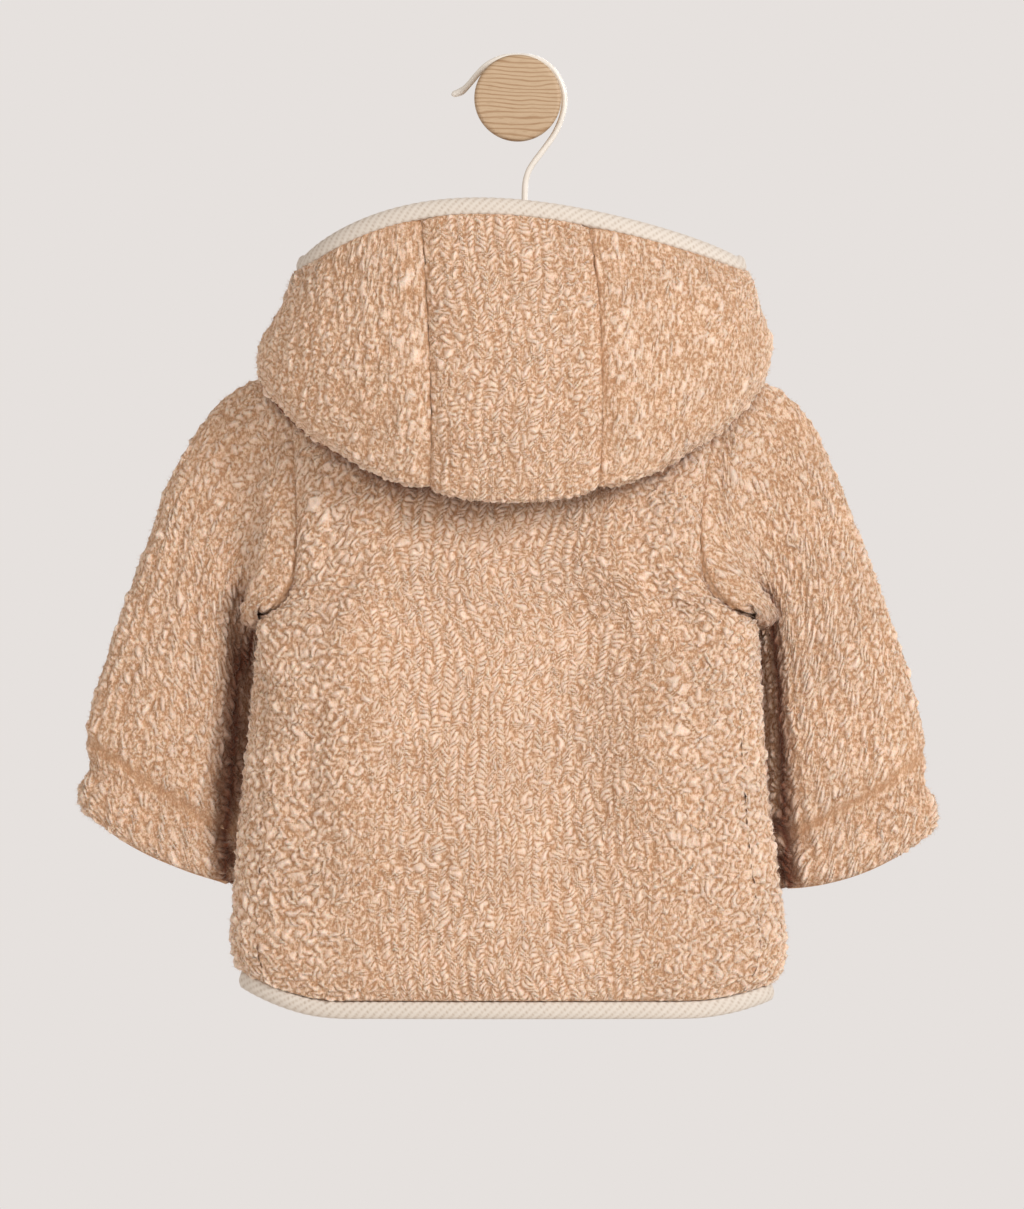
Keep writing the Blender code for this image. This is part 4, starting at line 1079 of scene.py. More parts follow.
def pile_piece(name, outer, shade, closed, turned_over, settings, material, node):
    """The pile of one cloth piece: one lively surface, domed in locks with creases between."""
    spec = CLOTH[node]
    seed = sum(map(ord, node))
    pile = settings.pile / MM
    fields = doubled(np.concatenate([outer, shade[..., None]], axis=2), closed)
    outer, shade = fields[..., :3], fields[..., 3]
    rows, columns = shade.shape
    normal = grid_normals(outer, closed) * (-1 if turned_over else 1)
    for _ in range(PILE_SOFTENINGS):
        normal = softened(normal, closed)
    normal = unit(normal)
    index = numbered((rows, columns), closed)
    widths = step_lengths(outer.reshape(-1, 3)[index].transpose(1, 0, 2)).T
    whole, widths = widths[:, -1:], widths[:, :columns]
    up = step_lengths(outer)
    across = widths - widths[:, int(round(spec["grain"] * (columns - 1)))][:, None]
    share = 0.0 if closed else np.abs(2 * widths / whole - 1)
    middle, side = spec["bold"]
    bold = middle + (side - middle) * ease((share - BOLD_FROM) / BOLD_RUN)
    lock = locks(across, up, bold, spec["scale"], settings, seed)
    bulk = np.minimum(bold + spec["scale"] - 1, 1)
    stand = 1 + STAND_UNEVEN * lumps(across / STAND_SIZE, up / STAND_SIZE, seed + 7)
    for far, least in ((up, EDGE_LEAST), (up[-1:] - up, CUFF_LEAST if closed else EDGE_LEAST)):
        stand = stand * (least + (1 - least) * domed(far / EDGE_ROUND))
    ragged = lumps(across / SEAM_RAGGED_SIZE, up / SEAM_RAGGED_SIZE, seed + 8)
    ragged = SEAM_RAGGED * ragged
    low = SEAM_PRESSED * seam_share(node, up / up[-1:])
    for far in () if closed else (widths, whole - widths):
        stand = stand * (1 - low + low * domed((far + ragged) / SEAM_ROUND))
    for groove_node, place, half, _ in GROOVES:
        if groove_node == node:
            off = up - place * up[-1:]
            stand = stand * (1 - GROOVE_PRESSED * np.exp(-((off / half) ** 2)))
    relief = PLAIN_RELIEF + (BOLD_RELIEF - PLAIN_RELIEF) * bulk
    dome = np.sqrt(lock**2 + LOCK_ROUND) - DOME_FOOT
    dome = (softened(dome, closed) + dome) / 2
    height = stand * (CREASE_LEVEL + relief * dome)
    points = outer + normal * (pile * (np.minimum(height, TALLEST) - 1))[..., None]
    if not closed:
        points[:, 0] += SEAM_GAP * unit(points[:, 0] - points[:, 1])
        points[:, -1] += SEAM_GAP * unit(points[:, -1] - points[:, -2])
    faces = quads_of(index)
    nodes = quads_of(np.arange(index.size).reshape(index.shape))
    if turned_over:
        faces, nodes = faces[:, ::-1], nodes[:, ::-1]
    points = points.reshape(-1, 3)
    fibres, roots = fuzz(node, points, normal.reshape(-1, 3), settings)
    loose = len(points) + np.arange(3 * len(roots)).reshape(-1, 3)
    points = np.concatenate([points, fibres.reshape(-1, 3)])
    piece = mesh_piece(name, points, [faces, loose], material, ())
    stem = np.repeat(roots, 3)
    plump = stand * (PLUMP_LEAST + (1 - PLUMP_LEAST) * bulk)
    for label, field in (("lock", lock), ("stand", stand), ("plump", plump), ("shade", shade)):
        field = field.ravel()
        point_values(piece, label, np.concatenate([field, field[stem]]))
    stem = stem // columns * index.shape[1] + stem % columns
    nodes = np.concatenate([nodes.ravel(), stem])
    flat = np.stack([nodes % index.shape[1], nodes // index.shape[1]], axis=-1) / max(index.shape)
    layer = piece.data.uv_layers.new(name="OFBake")
    layer.data.foreach_set("uv", flat.astype(np.float32).ravel())
    return piece


def fuzz(name, points, normal, settings):
    """Loose fibres that stand out of the pile: three corners each, and the point they stand on."""
    chance = np.random.default_rng(len(points))
    count = int(FIBRE_DENSITY * CLOTH[name]["cut"][2] / MM**2)
    roots = chance.integers(0, len(points), count)
    lean = unit(normal[roots] + FIBRE_LEAN * chance.normal(size=(count, 3)))
    side = unit(np.cross(lean, chance.normal(size=(count, 3)))) * FIBRE_WIDTH / 2
    length = settings.fibre / MM * chance.uniform(0.5, 1.0, (count, 1))
    foot = points[roots]
    return np.stack([foot - side, foot + side, foot + lean * length], axis=1), roots


# Every how many rows and columns of the fine layers the shell and the rough cover take.
SHELL_STEP = 2
COVER_STEP = 3


@cache
def laid(name):
    """A cloth piece's layers with its creases, its normals and whether it is turned over."""
    closed = name.startswith("sleeve")
    if name in PATCHES:
        layers = finer_body(name, GRID)
    else:
        layers = finer(LAYERS[name], GRID, closed)
    normal, turned_over = outward(layers[0], layers[1], closed)
    layers = creased(name, layers, normal)
    return layers, outward(layers[0], layers[1], closed)[0], turned_over


def thinned(grid, step, closed):
    """Which rows and columns of a grid make a coarser one, with its open ends kept."""
    picked = [np.unique(np.append(np.arange(0, count, step), count - 1)) for count in grid.shape]
    if closed:
        picked[1] = np.arange(0, grid.shape[1], step)
    return np.ix_(*picked)


@cache
def rough_cover():
    """All the cloth's outer faces as a tree for finding what keeps light out."""
    points, faces, total = [], [], 0
    for name in CLOTH:
        closed = name.startswith("sleeve")
        outer = laid(name)[0][0]
        outer = outer[thinned(outer[..., 0], COVER_STEP, closed)]
        faces.append(quads_of(numbered(outer.shape[:2], closed, total)))
        points.append(outer.reshape(-1, 3))
        total += len(points[-1])
    return BVHTree.FromPolygons(np.concatenate(points).tolist(), np.concatenate(faces).tolist())


# What shuts cloth in: how far is looked, on how many rays, from how far above the cloth and
# from every how many points; the turn from ray to ray, and a direction no normal follows.
SHELTER_REACH = 55.0
SHELTER_RAYS = 12
SHELTER_START = 3.0
SHELTER_STEP = 2
SHELTER_SEED = 11
GOLDEN_TURN = 2.4
SLANTED = (0.31, 0.17, 0.93)


def sheltered(outer, normal, closed, cover):
    """How far nearby cloth keeps light from each point of a grid: 0 in the open, 1 shut in."""
    seats, up = (
        grid[::SHELTER_STEP, ::SHELTER_STEP].reshape(-1, 3) for grid in (outer, normal)
    )
    turn = np.arange(SHELTER_RAYS) * GOLDEN_TURN
    lean = np.sqrt((np.arange(SHELTER_RAYS) + 0.5) / SHELTER_RAYS)
    spin = np.random.default_rng(SHELTER_SEED).uniform(0, 2 * math.pi, len(seats))
    side = unit(np.cross(up, np.array(SLANTED)))
    other = np.cross(up, side)
    shut = np.zeros(len(seats))
    starts = [Vector(place) for place in (seats + up * SHELTER_START).tolist()]
    for ray in range(SHELTER_RAYS):
        angle = spin + turn[ray]
        ahead = side * np.cos(angle)[:, None] + other * np.sin(angle)[:, None]
        ahead = ahead * lean[ray] + up * math.sqrt(1 - lean[ray] ** 2)
        for number, direction in enumerate(ahead.tolist()):
            far = cover.ray_cast(starts[number], direction, SHELTER_REACH)[3]
            if far is not None:
                shut[number] += 1 - far / SHELTER_REACH
    rows, columns = outer.shape[:2]
    grid = shut.reshape(-(-rows // SHELTER_STEP), -(-columns // SHELTER_STEP)) / SHELTER_RAYS
    grid = softened(grid, closed)
    if closed:
        grid = np.concatenate([grid, grid[:, :1]], axis=1)
    for count in (rows, columns + (1 if closed else 0)):
        place = np.linspace(0, len(grid) - 1, count)
        low = np.minimum(place.astype(int), len(grid) - 2)
        part = (place - low)[:, None]
        grid = ((1 - part) * grid[low] + part * grid[low + 1]).T
    return grid[:, :columns]


# Cloth pieces: how bold the locks are in the middle and at the sides, their scale, where the
# straight grain runs, which sides are sewn, and the cut's width, length and area in metres.
CLOTH = {
    name: dict(zip(("bold", "scale", "grain", "seams", "cut"), row))
    for name, *row in (
        ("back", (0.0, 0.7), 1.0, 0.5, (True, True), (0.300, 0.398, 0.103)),
        ("front_left", (0.6, 0.8), 1.0, 1.0, (True, False), (0.209, 0.372, 0.060)),
        ("front_right", (0.6, 0.8), 1.0, 1.0, (True, False), (0.209, 0.372, 0.060)),
        ("sleeve_left", (0.3, 0.3), 1.5, 0.25, (False, False), (0.350, 0.210, 0.056)),
        ("sleeve_right", (0.3, 0.3), 1.5, 0.25, (False, False), (0.350, 0.210, 0.056)),
        ("hood_left", (0.3, 0.5), 1.15, 1.0, (False, True), (0.250, 0.168, 0.0298)),
        ("hood_centre", (0.1, 0.3), 1.0, 0.5, (True, True), (0.102, 0.291, 0.0268)),
        ("hood_right", (0.3, 0.5), 1.15, 0.0, (True, False), (0.250, 0.168, 0.0298)),
    )
}

# Sleeves tucked in behind the body's edge: share across, half width and depth. The push grows
# from the armhole, loses a share towards the cuff, and spares the face to the jacket's front.
TUCKS = (("sleeve_left", 0.46, 27, 13), ("sleeve_right", 0.46, 15, 6))
TUCK_FROM = 0.08
TUCK_RUN = 0.3
TUCK_LOSS = 0.75
CUFF_FROM = 0.70
CUFF_RUN = 0.16
TUCK_FACING = 0.6

# Stitched grooves of the cuffs: share of the way down the sleeve, half width and depth.
GROOVES = (("sleeve_left", 0.84, 4.0, 1.8), ("sleeve_right", 0.84, 4.0, 1.8))

# Depth of the felted ground between locks, as a share of the pile.
GROUND_LEVEL = 0.95

# How far the cloth is drawn in at a sewn side edge, and how far from it.
SEAM_DIP = 2.2
SEAM_DIP_WIDTH = 6.0

# Share of a body panel's height over which its bound hem holds it out of the creases.
HEM_HELD = 0.16

# How far a crease sways to either side, and over what length.
CREASE_SWAY = 3.0
CREASE_SWAY_RUN = 17.0

# Creases: node, shares up and across the piece, half length, half width, depth
# and turn in degrees.
CREASES = (
    ("back", 0.42, 0.63, 170, 42, 17.0, 88),
    ("back", 0.66, 0.16, 60, 9, 2.4, 84),
    ("back", 0.66, 0.86, 60, 9, 2.4, 96),
    ("back", 0.40, 0.10, 70, 8, 2.0, 92),
    ("back", 0.36, 0.92, 70, 8, 2.0, 88),
    ("back", 0.50, 0.15, 130, 34, -9.0, 90),
    ("back", 0.45, 0.93, 120, 12, -3.0, 90),
    ("sleeve_left", 0.09, 0.50, 34, 25, -9.0, 90),
    ("sleeve_left", 0.84, 0.50, 26, 12, -3.0, 90),
    ("sleeve_left", 0.50, 0.24, 60, 7, 2.0, 78),
    ("sleeve_left", 0.40, 0.13, 50, 7, 1.8, 96),
    ("sleeve_right", 0.09, 0.50, 34, 25, -9.0, 90),
    ("sleeve_right", 0.84, 0.50, 26, 12, -3.0, 90),
    ("sleeve_right", 0.50, 0.26, 60, 7, 2.0, 102),
    ("sleeve_right", 0.42, 0.14, 50, 7, 1.8, 84),
    ("sleeve_left", 0.45, 0.72, 44, 10, 1.7, -10),
    ("sleeve_right", 0.50, 0.70, 44, 10, 1.7, 12),
    ("back", 0.57, 0.0, 26, 16, -3.0, 90),
    ("back", 0.57, 1.0, 26, 16, -3.0, 90),
    ("front_left", 0.57, 0.0, 26, 16, -3.0, 90),
    ("front_right", 0.57, 0.0, 26, 16, -3.0, 90),
    ("front_left", 0.30, 0.45, 60, 15, 1.8, 84),
    ("front_left", 0.62, 0.28, 46, 12, 2.0, 70),
    ("front_right", 0.34, 0.42, 60, 15, 1.8, 96),
    ("front_right", 0.66, 0.30, 46, 12, 2.0, 108),
    ("hood_left", 0.78, 0.55, 44, 10, 1.5, 60),
    ("hood_left", 0.68, 0.80, 36, 9, 1.2, 100),
    ("hood_right", 0.80, 0.42, 44, 10, 1.5, 118),
    ("hood_right", 0.66, 0.22, 36, 9, 1.2, 84),
    ("hood_centre", 0.74, 0.40, 40, 10, 1.0, 88),
)


def dress(context, name):
    """The shell and the pile of one cloth piece."""
    settings = context.scene.jacket_pile
    closed = name.startswith("sleeve")
    fine, normal, turned_over = laid(name)
    shade = sheltered(fine[0], normal, closed, rough_cover())
    picked = thinned(shade, SHELL_STEP, closed)
    shell = [layer[picked] for layer in fine]
    shell[0] = shell[0] - normal[picked] * settings.pile / MM * GROUND_LEVEL
    finishes = [finish(maker, settings) for maker in (knitted_backing, pile_ground, teddy_pile)]
    cloth = wall_piece(f"{name}_cloth", shell, closed, turned_over, finishes[:2], name)
    pile = pile_piece(
        f"{name}_pile", fine[0], shade, closed, turned_over, settings, finishes[2], name
    )


# Ribbed bindings.
BAR_SECTION = (
    (1.0, 0.45), (0.6, 1.0), (-0.6, 1.0), (-1.0, 0.45),
    (-1.0, -0.45), (-0.6, -1.25), (0.6, -1.25), (1.0, -0.45),
)


def binding_rings(outer, inner, away):
    """The bound edge's rings: a rounded bar along the cloth's border."""
    across = unit(outer - inner)
    along = unit(np.gradient(outer, axis=0))
    outward_from = unit(np.cross(across, along))
    outward_from *= np.sign(np.sum(outward_from * away, axis=1, keepdims=True))
    outward_from *= np.linalg.norm(away, axis=1, keepdims=True)
    middle = (outer + inner) / 2 + outward_from * (BINDING_GAP + BINDING_HEIGHT / 2)
    rings = [
        middle + across * wide * BINDING_THICKNESS / 2 + outward_from * tall * BINDING_HEIGHT / 2
        for wide, tall in BAR_SECTION
    ]
    return np.stack(rings, axis=1)


def hem_line(made):
    """The hem from the left front's edge round the back to the right front's edge."""
    back, left, right = made["back"], made["front_left"], made["front_right"]
    lines = [
        np.concatenate([left[layer][0, ::-1], back[layer][0, 1:-1], right[layer][0]])
        for layer in (0, 1)
    ]
    above = np.concatenate([left[0][1, ::-1], back[0][1, 1:-1], right[0][1]])
    return lines[0], lines[1], unit(lines[0] - above)


def front_line(front):
    """The free edge of a front, from below the hem's binding up to the neck."""
    outer, inner = front[0][:, -1], front[1][:, -1]
    away = unit(outer - front[0][:, -2])
    down = unit(outer[:1] - outer[1:2]) * (SEAM_GAP + BINDING_HEIGHT)
    return (
        np.concatenate([outer[:1] + down, outer]),
        np.concatenate([inner[:1] + down, inner]),
        np.concatenate([away[:1], away]),
    )


# The hood's binding starts this share up from the neck to the first row, and keeps to these
# rows of the front ends.
HOOD_FOOT = 0.2
HOOD_RISES = (1, 4, 7)


def hood_line(hood):
    """The face edge of the hood, up one front end, along its rim and down the other."""
    rises = list(HOOD_RISES)
    lines = []
    for points in hood:
        feet = points[0] + HOOD_FOOT * (points[1] - points[0])
        left = [feet[:1], points[rises, 0]]
        right = [points[rises[::-1], -1], feet[-1:]]
        lines.append(np.concatenate([*left, points[-1], *right]))
    outer = hood[0]
    up = unit(outer[-1] - outer[-2])
    first, last = unit(outer[:, 0] - outer[:, 1]), unit(outer[:, -1] - outer[:, -2])
    up[0] = up[0] + first[-1]
    up[-1] = up[-1] + last[-1]
    rises = [0, *rises]
    return lines[0], lines[1], np.concatenate([first[rises], up, last[rises[::-1]]])


def capped(rings):
    """Quads round a closed run of rings, and a flat face over each end."""
    index = numbered(rings.shape[:2], False)
    return [quads_of(numbered(rings.shape[:2], True)), index[:1, ::-1], index[-1:]]


# Ribs: spacing of the rings, points round each, how sharp a rib is and its middle level.
RIB_STEP = 0.9
RIB_COLUMNS = 20
RIB_SHARP = 0.6
RIB_LEVEL = 0.72


def ribbed_piece(name, line, slant, settings, material):
    rings = np.roll(binding_rings(*line), 2, axis=1)
    lengths = step_lengths(rings.mean(axis=1))
    places = np.interp(np.arange(0, lengths[-1], RIB_STEP), lengths, np.arange(len(lengths)))
    rings = between(rings, places)
    corners = np.arange(RIB_COLUMNS) * len(BAR_SECTION) / RIB_COLUMNS
    rings = between(rings.transpose(1, 0, 2), corners, True)
    rings = rings.transpose(1, 0, 2)
    along = step_lengths(rings.mean(axis=1))[:, None]
    round_it = step_lengths(np.concatenate([rings, rings[:, :1]], axis=1).transpose(1, 0, 2)).T
    phase = (along + slant * round_it[:, :-1]) / (settings.rib_pitch / MM)
    rib = np.abs(np.cos(math.pi * phase)) ** RIB_SHARP
    normal = grid_normals(rings, True)
    if np.sum(normal * (rings - rings.mean(axis=1, keepdims=True))) < 0:
        normal = -normal
    rings = rings + normal * ((rib - RIB_LEVEL) * settings.rib_depth / MM)[..., None]
    points = rings.reshape(-1, 3)
    faces = capped(rings)
    if np.sum(grid_normals(rings, True) * normal) < 0:
        faces = [part[:, ::-1] for part in faces]
    piece = mesh_piece(f"{name}_ribs", points, faces, material, [name])
    point_values(piece, "rise", rib)
    return piece


# Turned and bent pieces.


# Edges sharper than these many degrees show as edges: on shells, turned pieces and wires.
SHELL_SHARP = 50
TURNED_SHARP = 35
WIRE_SHARP = 60


def turned_piece(name, profile, sides, middle, facing, material, node):
    """A turned piece round the Y axis: its profile is radius and height, from face to back."""
    profile = np.array(profile, float)
    turn = 2 * math.pi * np.arange(sides) / sides
    rings = np.stack(
        [
            middle[0] + profile[:, :1] * np.cos(turn),
            middle[1] + facing * profile[:, 1:] + 0 * turn,
            middle[2] + profile[:, :1] * np.sin(turn),
        ],
        axis=-1,
    )
    faces = capped(rings)
    if facing > 0:
        faces = [part[:, ::-1] for part in faces]
    piece = mesh_piece(name, rings.reshape(-1, 3), faces, material, [node])
    piece.data.set_sharp_from_angle(angle=math.radians(TURNED_SHARP))
    return piece


def wire_piece(name, points, radii, sides, material, node):
    """A bent wire in the plane of the hanger, with rounded ends."""
    ahead = unit(np.gradient(points, axis=0))
    across = np.array((0.0, 1.0, 0.0))
    other = unit(np.cross(ahead, across))
    turn = 2 * math.pi * np.arange(sides) / sides
    rings = (
        points[:, None]
        + radii[:, None, None] * np.cos(turn)[None, :, None] * across
        + radii[:, None, None] * np.sin(turn)[None, :, None] * other[:, None]
    )
    piece = mesh_piece(name, rings.reshape(-1, 3), capped(rings), material, [node])
    piece.data.set_sharp_from_angle(angle=math.radians(WIRE_SHARP))
    return piece


# The radius at a wire's very end, as a share of its full radius.
END_LEAST = 0.3


def rounded_ends(count, radius, spacing):
    """Radii along a wire whose ends are rounded over."""
    run = np.arange(count) * spacing
    far = np.minimum(run, run[::-1])
    share = np.clip(far / radius, 0.0, 1.0)
    return radius * np.sqrt(np.clip(1 - (1 - share) ** 2, END_LEAST**2, 1.0))


def arm_height(across):
    ridge = float(ridge_height(across * (1 + WALL / SHOULDER_END)))
    return ridge - WALL - ARM_DROP - ARM_RADIUS


def arm_route():
    """From the left arm's end over the crest to the right one's, and the crest's height."""
    slope = SHOULDER_DROP / (SHOULDER_END - NECK_HALF)
    innermost = ARM_STATIONS[-1]
    peak = arm_height(NECK_HALF) + slope * (NECK_HALF - innermost)
    heights = [
        arm_height(reach) if reach >= NECK_HALF else peak - slope * (reach - innermost)
        for reach in ARM_STATIONS
    ]
    left, right = (
        [(CENTRE_X + side * reach, CENTRE_Y, high) for reach, high in zip(ARM_STATIONS, heights)]
        for side in (-1, 1)
    )
    crest = peak + ARM_CREST
    return left + [(HANGER_X, CENTRE_Y, crest)] + right[::-1], crest


def spaced(route, spacing):
    """Points along a smooth curve through a route, at an even spacing."""
    route = np.array(route, float)
    lengths = step_lengths(route)
    count = int(round(lengths[-1] / spacing)) + 1
    return smooth(lengths, route, np.linspace(0, lengths[-1], count))


# Materials.


# The sockets of a node that mixes colours: its share and the two colours, and its output.
MIX_INPUTS = (0, 6, 7)
MIX_OUTPUT = 2


def add(tree, kind, inputs=(), out=0, **settings):
    """An output of a new node with its settings, and its inputs set or linked."""
    made = tree.nodes.new("ShaderNode" + kind)
    if kind == "Mix":
        made.data_type = "RGBA"
        inputs, out = dict(zip(MIX_INPUTS, inputs)), MIX_OUTPUT
    for name, value in settings.items():
        setattr(made, name, value)
    for socket, value in inputs.items() if isinstance(inputs, dict) else enumerate(inputs):
        if isinstance(value, bpy.types.NodeSocket):
            tree.links.new(value, made.inputs[socket])
        else:
            made.inputs[socket].default_value = value
    return made.outputs[out]


def unevenness(tree, millimetres, detail=3.0, stretch=(1.0, 1.0, 1.0)):
    """An uneven pattern laid on the object, whose lumps are about this size."""
    place = add(tree, "TexCoord", out="Object")
    moved = add(tree, "Mapping", {"Vector": place, "Scale": stretch})
    inputs = {"Vector": moved, "Scale": 1 / (millimetres * MM), "Detail": detail}
    return add(tree, "TexNoise", inputs, "Fac")


def with_painted_shade(tree, colour, settings):
    """The colour with painted shade: deeper and warmer where nearby cloth shuts the pile in."""
    # Painted shade: the shade attribute, from rays cast at nearby cloth, darkens and warms the
    # colour here.
    shade = add(tree, "Attribute", out="Fac", attribute_name="shade")
    shut = add(tree, "MapRange", (shade, 0.14, 0.50))
    open_inside = add(tree, "MapRange", (shade, 0.52, 0.70, 1.0, 0.25))
    shut = add(tree, "Math", (shut, open_inside), operation="MULTIPLY")
    tint = add(tree, "Mix", (shut, (1.0, 1.0, 1.0, 1.0), settings.deep))
    return add(tree, "Mix", (1.0, colour, tint), blend_type="MULTIPLY")


def teddy_pile(tree, settings):
    """Long knitted pile, tumbled: pale tips, and painted shade in a warm dark colour low down
    between the locks, under a soft haze.
    """
    lock, stand, plump = (
        add(tree, "Attribute", out="Fac", attribute_name=name)
        for name in ("lock", "stand", "plump")
    )
    square = add(tree, "Math", (lock, lock, LOCK_ROUND), operation="MULTIPLY_ADD")
    off = add(tree, "Math", (square,), operation="SQRT")
    # Small tufts on each lock are about 2 mm across.
    tufts = add(tree, "MapRange", (unevenness(tree, 2.0, 1.0), 0.3, 0.7, -0.22, 0.22))
    dome = add(tree, "Math", (off, tufts), operation="ADD")
    rise = add(tree, "Math", (dome, stand), operation="MULTIPLY")
    raised = add(tree, "Math", (dome, plump), operation="MULTIPLY")
    # Fibres are about 0.03 mm thick; they show as strands of 0.7 mm.
    strands = unevenness(tree, 0.7, 4.0, (1.0, 1.0, 0.45))
    frayed = add(tree, "MapRange", (strands, 0.3, 0.7, -0.18, 0.18))
    lifted = add(tree, "Math", (rise, frayed), operation="ADD")
    # Painted shade: the colour runs from the crease colour low down between the locks, and where
    # the pile stands low at edges, seams and grooves, up to the pale tips on top.
    low, high = (add(tree, "MapRange", (lifted, *ends)) for ends in ((0.0, 0.40), (0.25, 0.85)))
    colour = add(tree, "Mix", (low, settings.root, settings.middle))
    colour = add(tree, "Mix", (high, colour, settings.tip))
    turns = add(tree, "MapRange", (lock, -0.1, 0.1, 0.97, 1.03))
    patches = add(tree, "MapRange", (unevenness(tree, 30.0, 2.0), 0.3, 0.7, 0.94, 1.04))
    both = add(tree, "Math", (turns, patches), operation="MULTIPLY")
    grey = add(tree, "CombineColor", (both, both, both))
    colour = add(tree, "Mix", (1.0, colour, grey), blend_type="MULTIPLY")
    domes = add(tree, "Bump", {"Height": raised, "Strength": 1.0, "Distance": 1.4 * MM})
    inputs = {"Height": strands, "Strength": 0.65, "Distance": 0.5 * MM, "Normal": domes}
    return {"Base Color": with_painted_shade(tree, colour, settings), "Normal": add(tree, "Bump", inputs)}


def pile_ground(tree, settings):
    """Felted knitted ground of the pile, in painted shade: the warm dark colour of the crevices
    between the locks and at the rims.
    """
    place = add(tree, "TexCoord", out="Object")
    # Its short felted tufts are about 2.6 mm long.
    inputs = {"Vector": place, "Scale": 1 / (2.6 * MM), "Smoothness": 0.5}
    tufts = add(tree, "TexVoronoi", inputs, "Distance", feature="SMOOTH_F1")
    fibres = unevenness(tree, 0.9, 4.0)
    share = add(tree, "MapRange", (tufts, 0.15, 0.75))
    # Painted shade: the ground's felted tufts run from the middle colour towards the dark crease
    # colour.
    colour = add(tree, "Mix", (share, settings.middle, settings.root))
    share = add(tree, "MapRange", (fibres, 0.3, 0.7, 0.0, 0.35))
    colour = add(tree, "Mix", (share, colour, settings.root))
    inputs = {"Height": tufts, "Strength": 0.9, "Distance": 1.6 * MM}
    lumpy = add(tree, "Bump", inputs, invert=True)
    inputs = {"Height": fibres, "Strength": 0.5, "Distance": 0.4 * MM, "Normal": lumpy}
    return {"Base Color": with_painted_shade(tree, colour, settings), "Normal": add(tree, "Bump", inputs)}


def knitted_backing(tree, settings):
    """Warp-knitted inside: small dry loops in columns, a little paler than the pile."""
    place = add(tree, "TexCoord", out="Object")
    # Loops are 1.1 mm apart; they are drawn 1.8 mm apart so that they show.
    inputs = {"Vector": place, "Scale": 1 / (1.8 * MM), "Randomness": 0.55}
    loops = add(tree, "TexVoronoi", inputs, "Distance")
    share = add(tree, "MapRange", (loops, 0.1, 0.7))
    colour = add(tree, "Mix", (share, settings.backing, settings.middle))
    share = add(tree, "MapRange", (unevenness(tree, 9.0, 2.0), 0.3, 0.7, 0.0, 0.25))
    colour = add(tree, "Mix", (share, colour, settings.root))
    inputs = {"Height": loops, "Strength": 0.7, "Distance": 0.5 * MM}
    return {"Base Color": colour, "Normal": add(tree, "Bump", inputs, invert=True)}


def rib_knit(tree, settings):
    """Cotton rib knit cut on the slant: dry cream ribs with soft shaded grooves."""
    rise = add(tree, "Attribute", out="Fac", attribute_name="rise")
    # Yarn is 0.25 mm; its twist shows as grains of 0.5 mm.
    yarn = unevenness(tree, 0.5, 3.0)
    share = add(tree, "MapRange", (rise, 0.25, 0.85))
    colour = add(tree, "Mix", (share, settings.groove, settings.binding))
    share = add(tree, "MapRange", (yarn, 0.35, 0.7, 0.0, 0.22))
    colour = add(tree, "Mix", (share, colour, settings.groove))
    inputs = {"Height": yarn, "Strength": 0.4, "Distance": 0.3 * MM}
    return {"Base Color": colour, "Normal": add(tree, "Bump", inputs)}


def acetal(tree, settings):
    """Moulded press stud: smooth, softly glossy, with faint flow marks."""
    flow = add(tree, "MapRange", (unevenness(tree, 6.0, 2.0), 0.3, 0.7, 0.0, 0.3))
    rough = add(tree, "MapRange", (unevenness(tree, 1.5, 3.0), 0.3, 0.7, 0.22, 0.38))
    colour = add(tree, "Mix", (flow, settings.stud, settings.groove))
    return {"Base Color": colour, "Roughness": rough}


def dipped_wire(tree, settings):
    """Steel wire dipped in white vinyl: even, slightly waxy, with small thick spots."""
    spots = unevenness(tree, 4.0, 3.0)
    share = add(tree, "MapRange", (spots, 0.35, 0.75, 0.0, 0.2))
    inputs = {"Height": spots, "Strength": 0.25, "Distance": 0.3 * MM}
    return {
        "Base Color": add(tree, "Mix", (share, settings.wire, linear("DCD4C8"))),
        "Roughness": add(tree, "MapRange", (spots, 0.3, 0.7, 0.28, 0.45)),
        "Normal": add(tree, "Bump", inputs),
    }


def turned_ash(tree, settings):
    """Ash, turned and sanded, cut along the grain: level bands of late wood and open pores."""
    place = add(tree, "TexCoord", out="Object")
    waves = unevenness(tree, 16.0, 2.0, (0.35, 0.6, 1.0))
    bend = add(tree, "MapRange", (waves, 0.2, 0.8, -3.5 * MM, 3.5 * MM))
    bent = add(tree, "CombineXYZ", {"Z": bend})
    moved = add(tree, "VectorMath", (place, bent), operation="ADD")
    high = add(tree, "SeparateXYZ", (moved,), "Z")
    turns = add(tree, "Math", (high, 2 * math.pi / settings.ring), operation="MULTIPLY")
    bands = add(tree, "Math", (turns,), operation="SINE")
    # Pores are 0.2 mm wide and run along the grain; they are drawn 0.4 mm wide.
    pores = unevenness(tree, 0.4, 3.0, (0.06, 0.3, 1.0))
    fibres = unevenness(tree, 1.1, 4.0, (0.05, 0.3, 1.0))
    colour = settings.light_wood
    for share, wood in (
        ((bands, 0.1, 1.0), settings.dark_wood),
        ((fibres, 0.25, 0.75, 0.0, 0.5), settings.light_wood),
        ((pores, 0.56, 0.75, 0.0, 0.6), settings.dark_wood),
    ):
        colour = add(tree, "Mix", (add(tree, "MapRange", share), colour, wood))
    inputs = {"Height": pores, "Strength": 0.3, "Distance": 0.2 * MM}
    return {
        "Base Color": colour,
        "Roughness": add(tree, "MapRange", (pores, 0.3, 0.7, 0.5, 0.7)),
        "Normal": add(tree, "Bump", inputs, invert=True),
    }


def matt_paint(tree, settings):
    """Floor paint, rolled: even and dull, with faint clouds."""
    clouds = add(tree, "MapRange", (unevenness(tree, 60.0, 4.0), 0.3, 0.7, 0.0, 0.1))
    return {"Base Color": add(tree, "Mix", (clouds, settings.floor, linear("D2CCC6")))}


